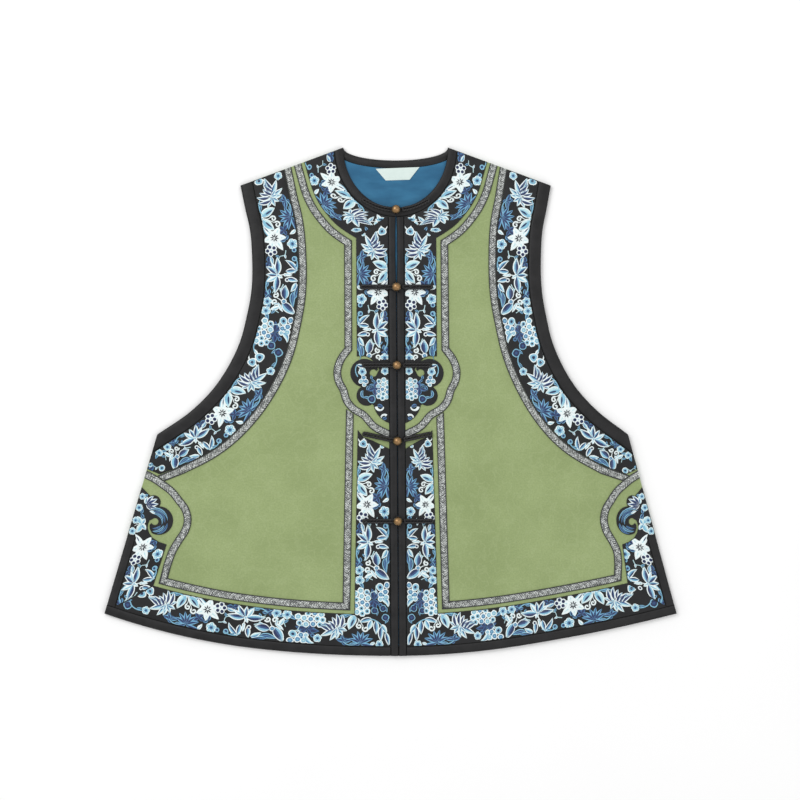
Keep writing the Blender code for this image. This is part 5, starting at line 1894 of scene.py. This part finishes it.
def black_cord():
    """Black satin cord with a close diagonal twist, with painted shade in its grooves and a painted
    highlight on its ridges.
    """
    cord = Material("black_cord", Sheen_Weight=0.03, Specular_IOR_Level=0.35)
    twist = cord.bands(CORD_PITCH, "DIAGONAL")
    # Painted shade and highlight: the colour follows the twist, dark in its grooves and light on its
    # ridges
    base = cord.blended(twist, *CORD_TWIST_SHADE_TONES)
    cord.finish(base, cord.spread(cord.noise(300.0, 2.0), 0.4, 0.55), cord.bump(twist, 0.3))


def old_brass():
    """Worn brass of the ball buttons, with painted shade making it darker low down."""
    brass = Material("old_brass", Metallic=1.0)
    wear = brass.noise(700.0, 4.0)
    height = brass.add("SeparateXYZ", {0: brass.place}).outputs[1]
    # Painted shade: the brass is darker low down on the ball, on top of its wear
    low = brass.eased(brass.eased(height, *BRASS_SHADE), 0.0, 1.0, 0.5, 1.0)
    rubbed_and_shaded = brass.sums("MULTIPLY", brass.spread(wear, 0.55, 1.0), low)
    base = brass.blended(rubbed_and_shaded, *BRASS_WEAR_AND_SHADE_TONES)
    brass.finish(base, brass.spread(wear, 0.26, 0.46), brass.bump(wear, 0.08))


def white_label():
    """White woven label."""
    label = Material("white_label", Sheen_Weight=0.2)
    threads = label.weave(LABEL_PITCH)
    base = label.blended(label.noise(90.0, 3.0), *LABEL_TONES)
    base = label.blended(label.sums("MULTIPLY", threads, 0.25), base, LABEL_THREAD)
    label.finish(base, label.eased(threads, 0.0, 1.0, 0.6, 0.5), label.bump(threads, 0.08))


def silk_thread():
    """Silk embroidery, coloured by the thread of each shape, with close slanting stitches, painted shade
    in the gaps between them and a random tone along the strands.
    """
    silk = Material("silk_thread", Sheen_Weight=0.06, Sheen_Roughness=0.3)
    thread = silk.add("Attribute", attribute_name="thread", attribute_type="GEOMETRY").outputs["Color"]
    stitches = silk.bands(STITCH_PITCH, "DIAGONAL", 0.4)
    strands = silk.noise(420.0, 2.0, (1.0, 0.3, 1.0))
    # Painted shade: the thread is darker in the gaps between the stitch rows, with a faint painted
    # highlight on the stitches
    rows = silk.eased(stitches, 0.0, 1.0, 0.86, 1.02)
    stitch_shade_and_strand_tone = silk.sums("MULTIPLY", rows, silk.spread(strands, 0.93, 1.03))
    shaded = silk.add("VectorMath", {0: thread, "Scale": stitch_shade_and_strand_tone}, operation="SCALE").outputs[0]
    silk.finish(shaded, silk.spread(strands, 0.36, 0.5), silk.bump(stitches, 0.14))


# Floor, light and camera


def place_new(name, data, place=(0.0, 0.0, 0.0)):
    """Put a new object in the scene and return it."""
    made = bpy.data.objects.new(name, data)
    made.location = place
    bpy.context.collection.objects.link(made)
    return made


def set_stage():
    """Make the floor, the light and the world."""
    half = FLOOR_SIZE / 2
    mesh = bpy.data.meshes.new("floor")
    corners = [(-half, -half, 0), (half, -half, 0), (half, half, 0), (-half, half, 0)]
    mesh.from_pydata(corners, [], [(0, 1, 2, 3)])
    paper = Material("floor", "Object", Roughness=0.9)
    feed(paper.shader.inputs["Base Color"], paper.blended(paper.noise(3.0, 2.0), FLOOR_DARK, FLOOR_LIGHT))
    mesh.materials.append(paper.material)
    place_new("floor", mesh)
    for name, (place, size, power) in LIGHTS.items():
        lamp = bpy.data.lights.new(name, "AREA")
        lamp.shape = "SQUARE"
        lamp.size = size
        lamp.energy = power
        light = place_new(name, lamp, place)
        light.rotation_mode = "QUATERNION"
        light.rotation_quaternion = (-light.location).to_track_quat("-Z", "Y")
        light.visible_camera = False
    world = bpy.data.worlds.new("studio")
    world.use_nodes = True
    sky = world.node_tree.nodes["Background"]
    sky.inputs["Color"].default_value = (1.0, 1.0, 1.0, 1.0)
    sky.inputs["Strength"].default_value = SKY_STRENGTH
    bpy.context.scene.world = world
    bpy.context.scene.view_settings.view_transform = "Standard"


def set_camera():
    """Make the camera, straight above the garment."""
    lens = bpy.data.cameras.new("camera")
    lens.lens = LENS
    lens.sensor_width = SENSOR
    place = (*VIEW_CENTRE, LOOK_LEVEL + VIEW_WIDTH * LENS / SENSOR)
    bpy.context.scene.camera = place_new("camera", lens, place)


def main():
    """Dress the waistcoat."""
    for make in (green_silk, black_satin, ribbon_satin, blue_lining, brocade_braid, black_cord, old_brass):
        make()
    white_label()
    silk_thread()
    sheets = body_cloth()
    for make in (ribbons, neck_bindings, front_edge_bindings, armhole_bindings, hem_and_side_bindings):
        make()
    for make in (braids, frogs, buttons, embroidery):
        make()
    set_stage()
    set_camera()


main()
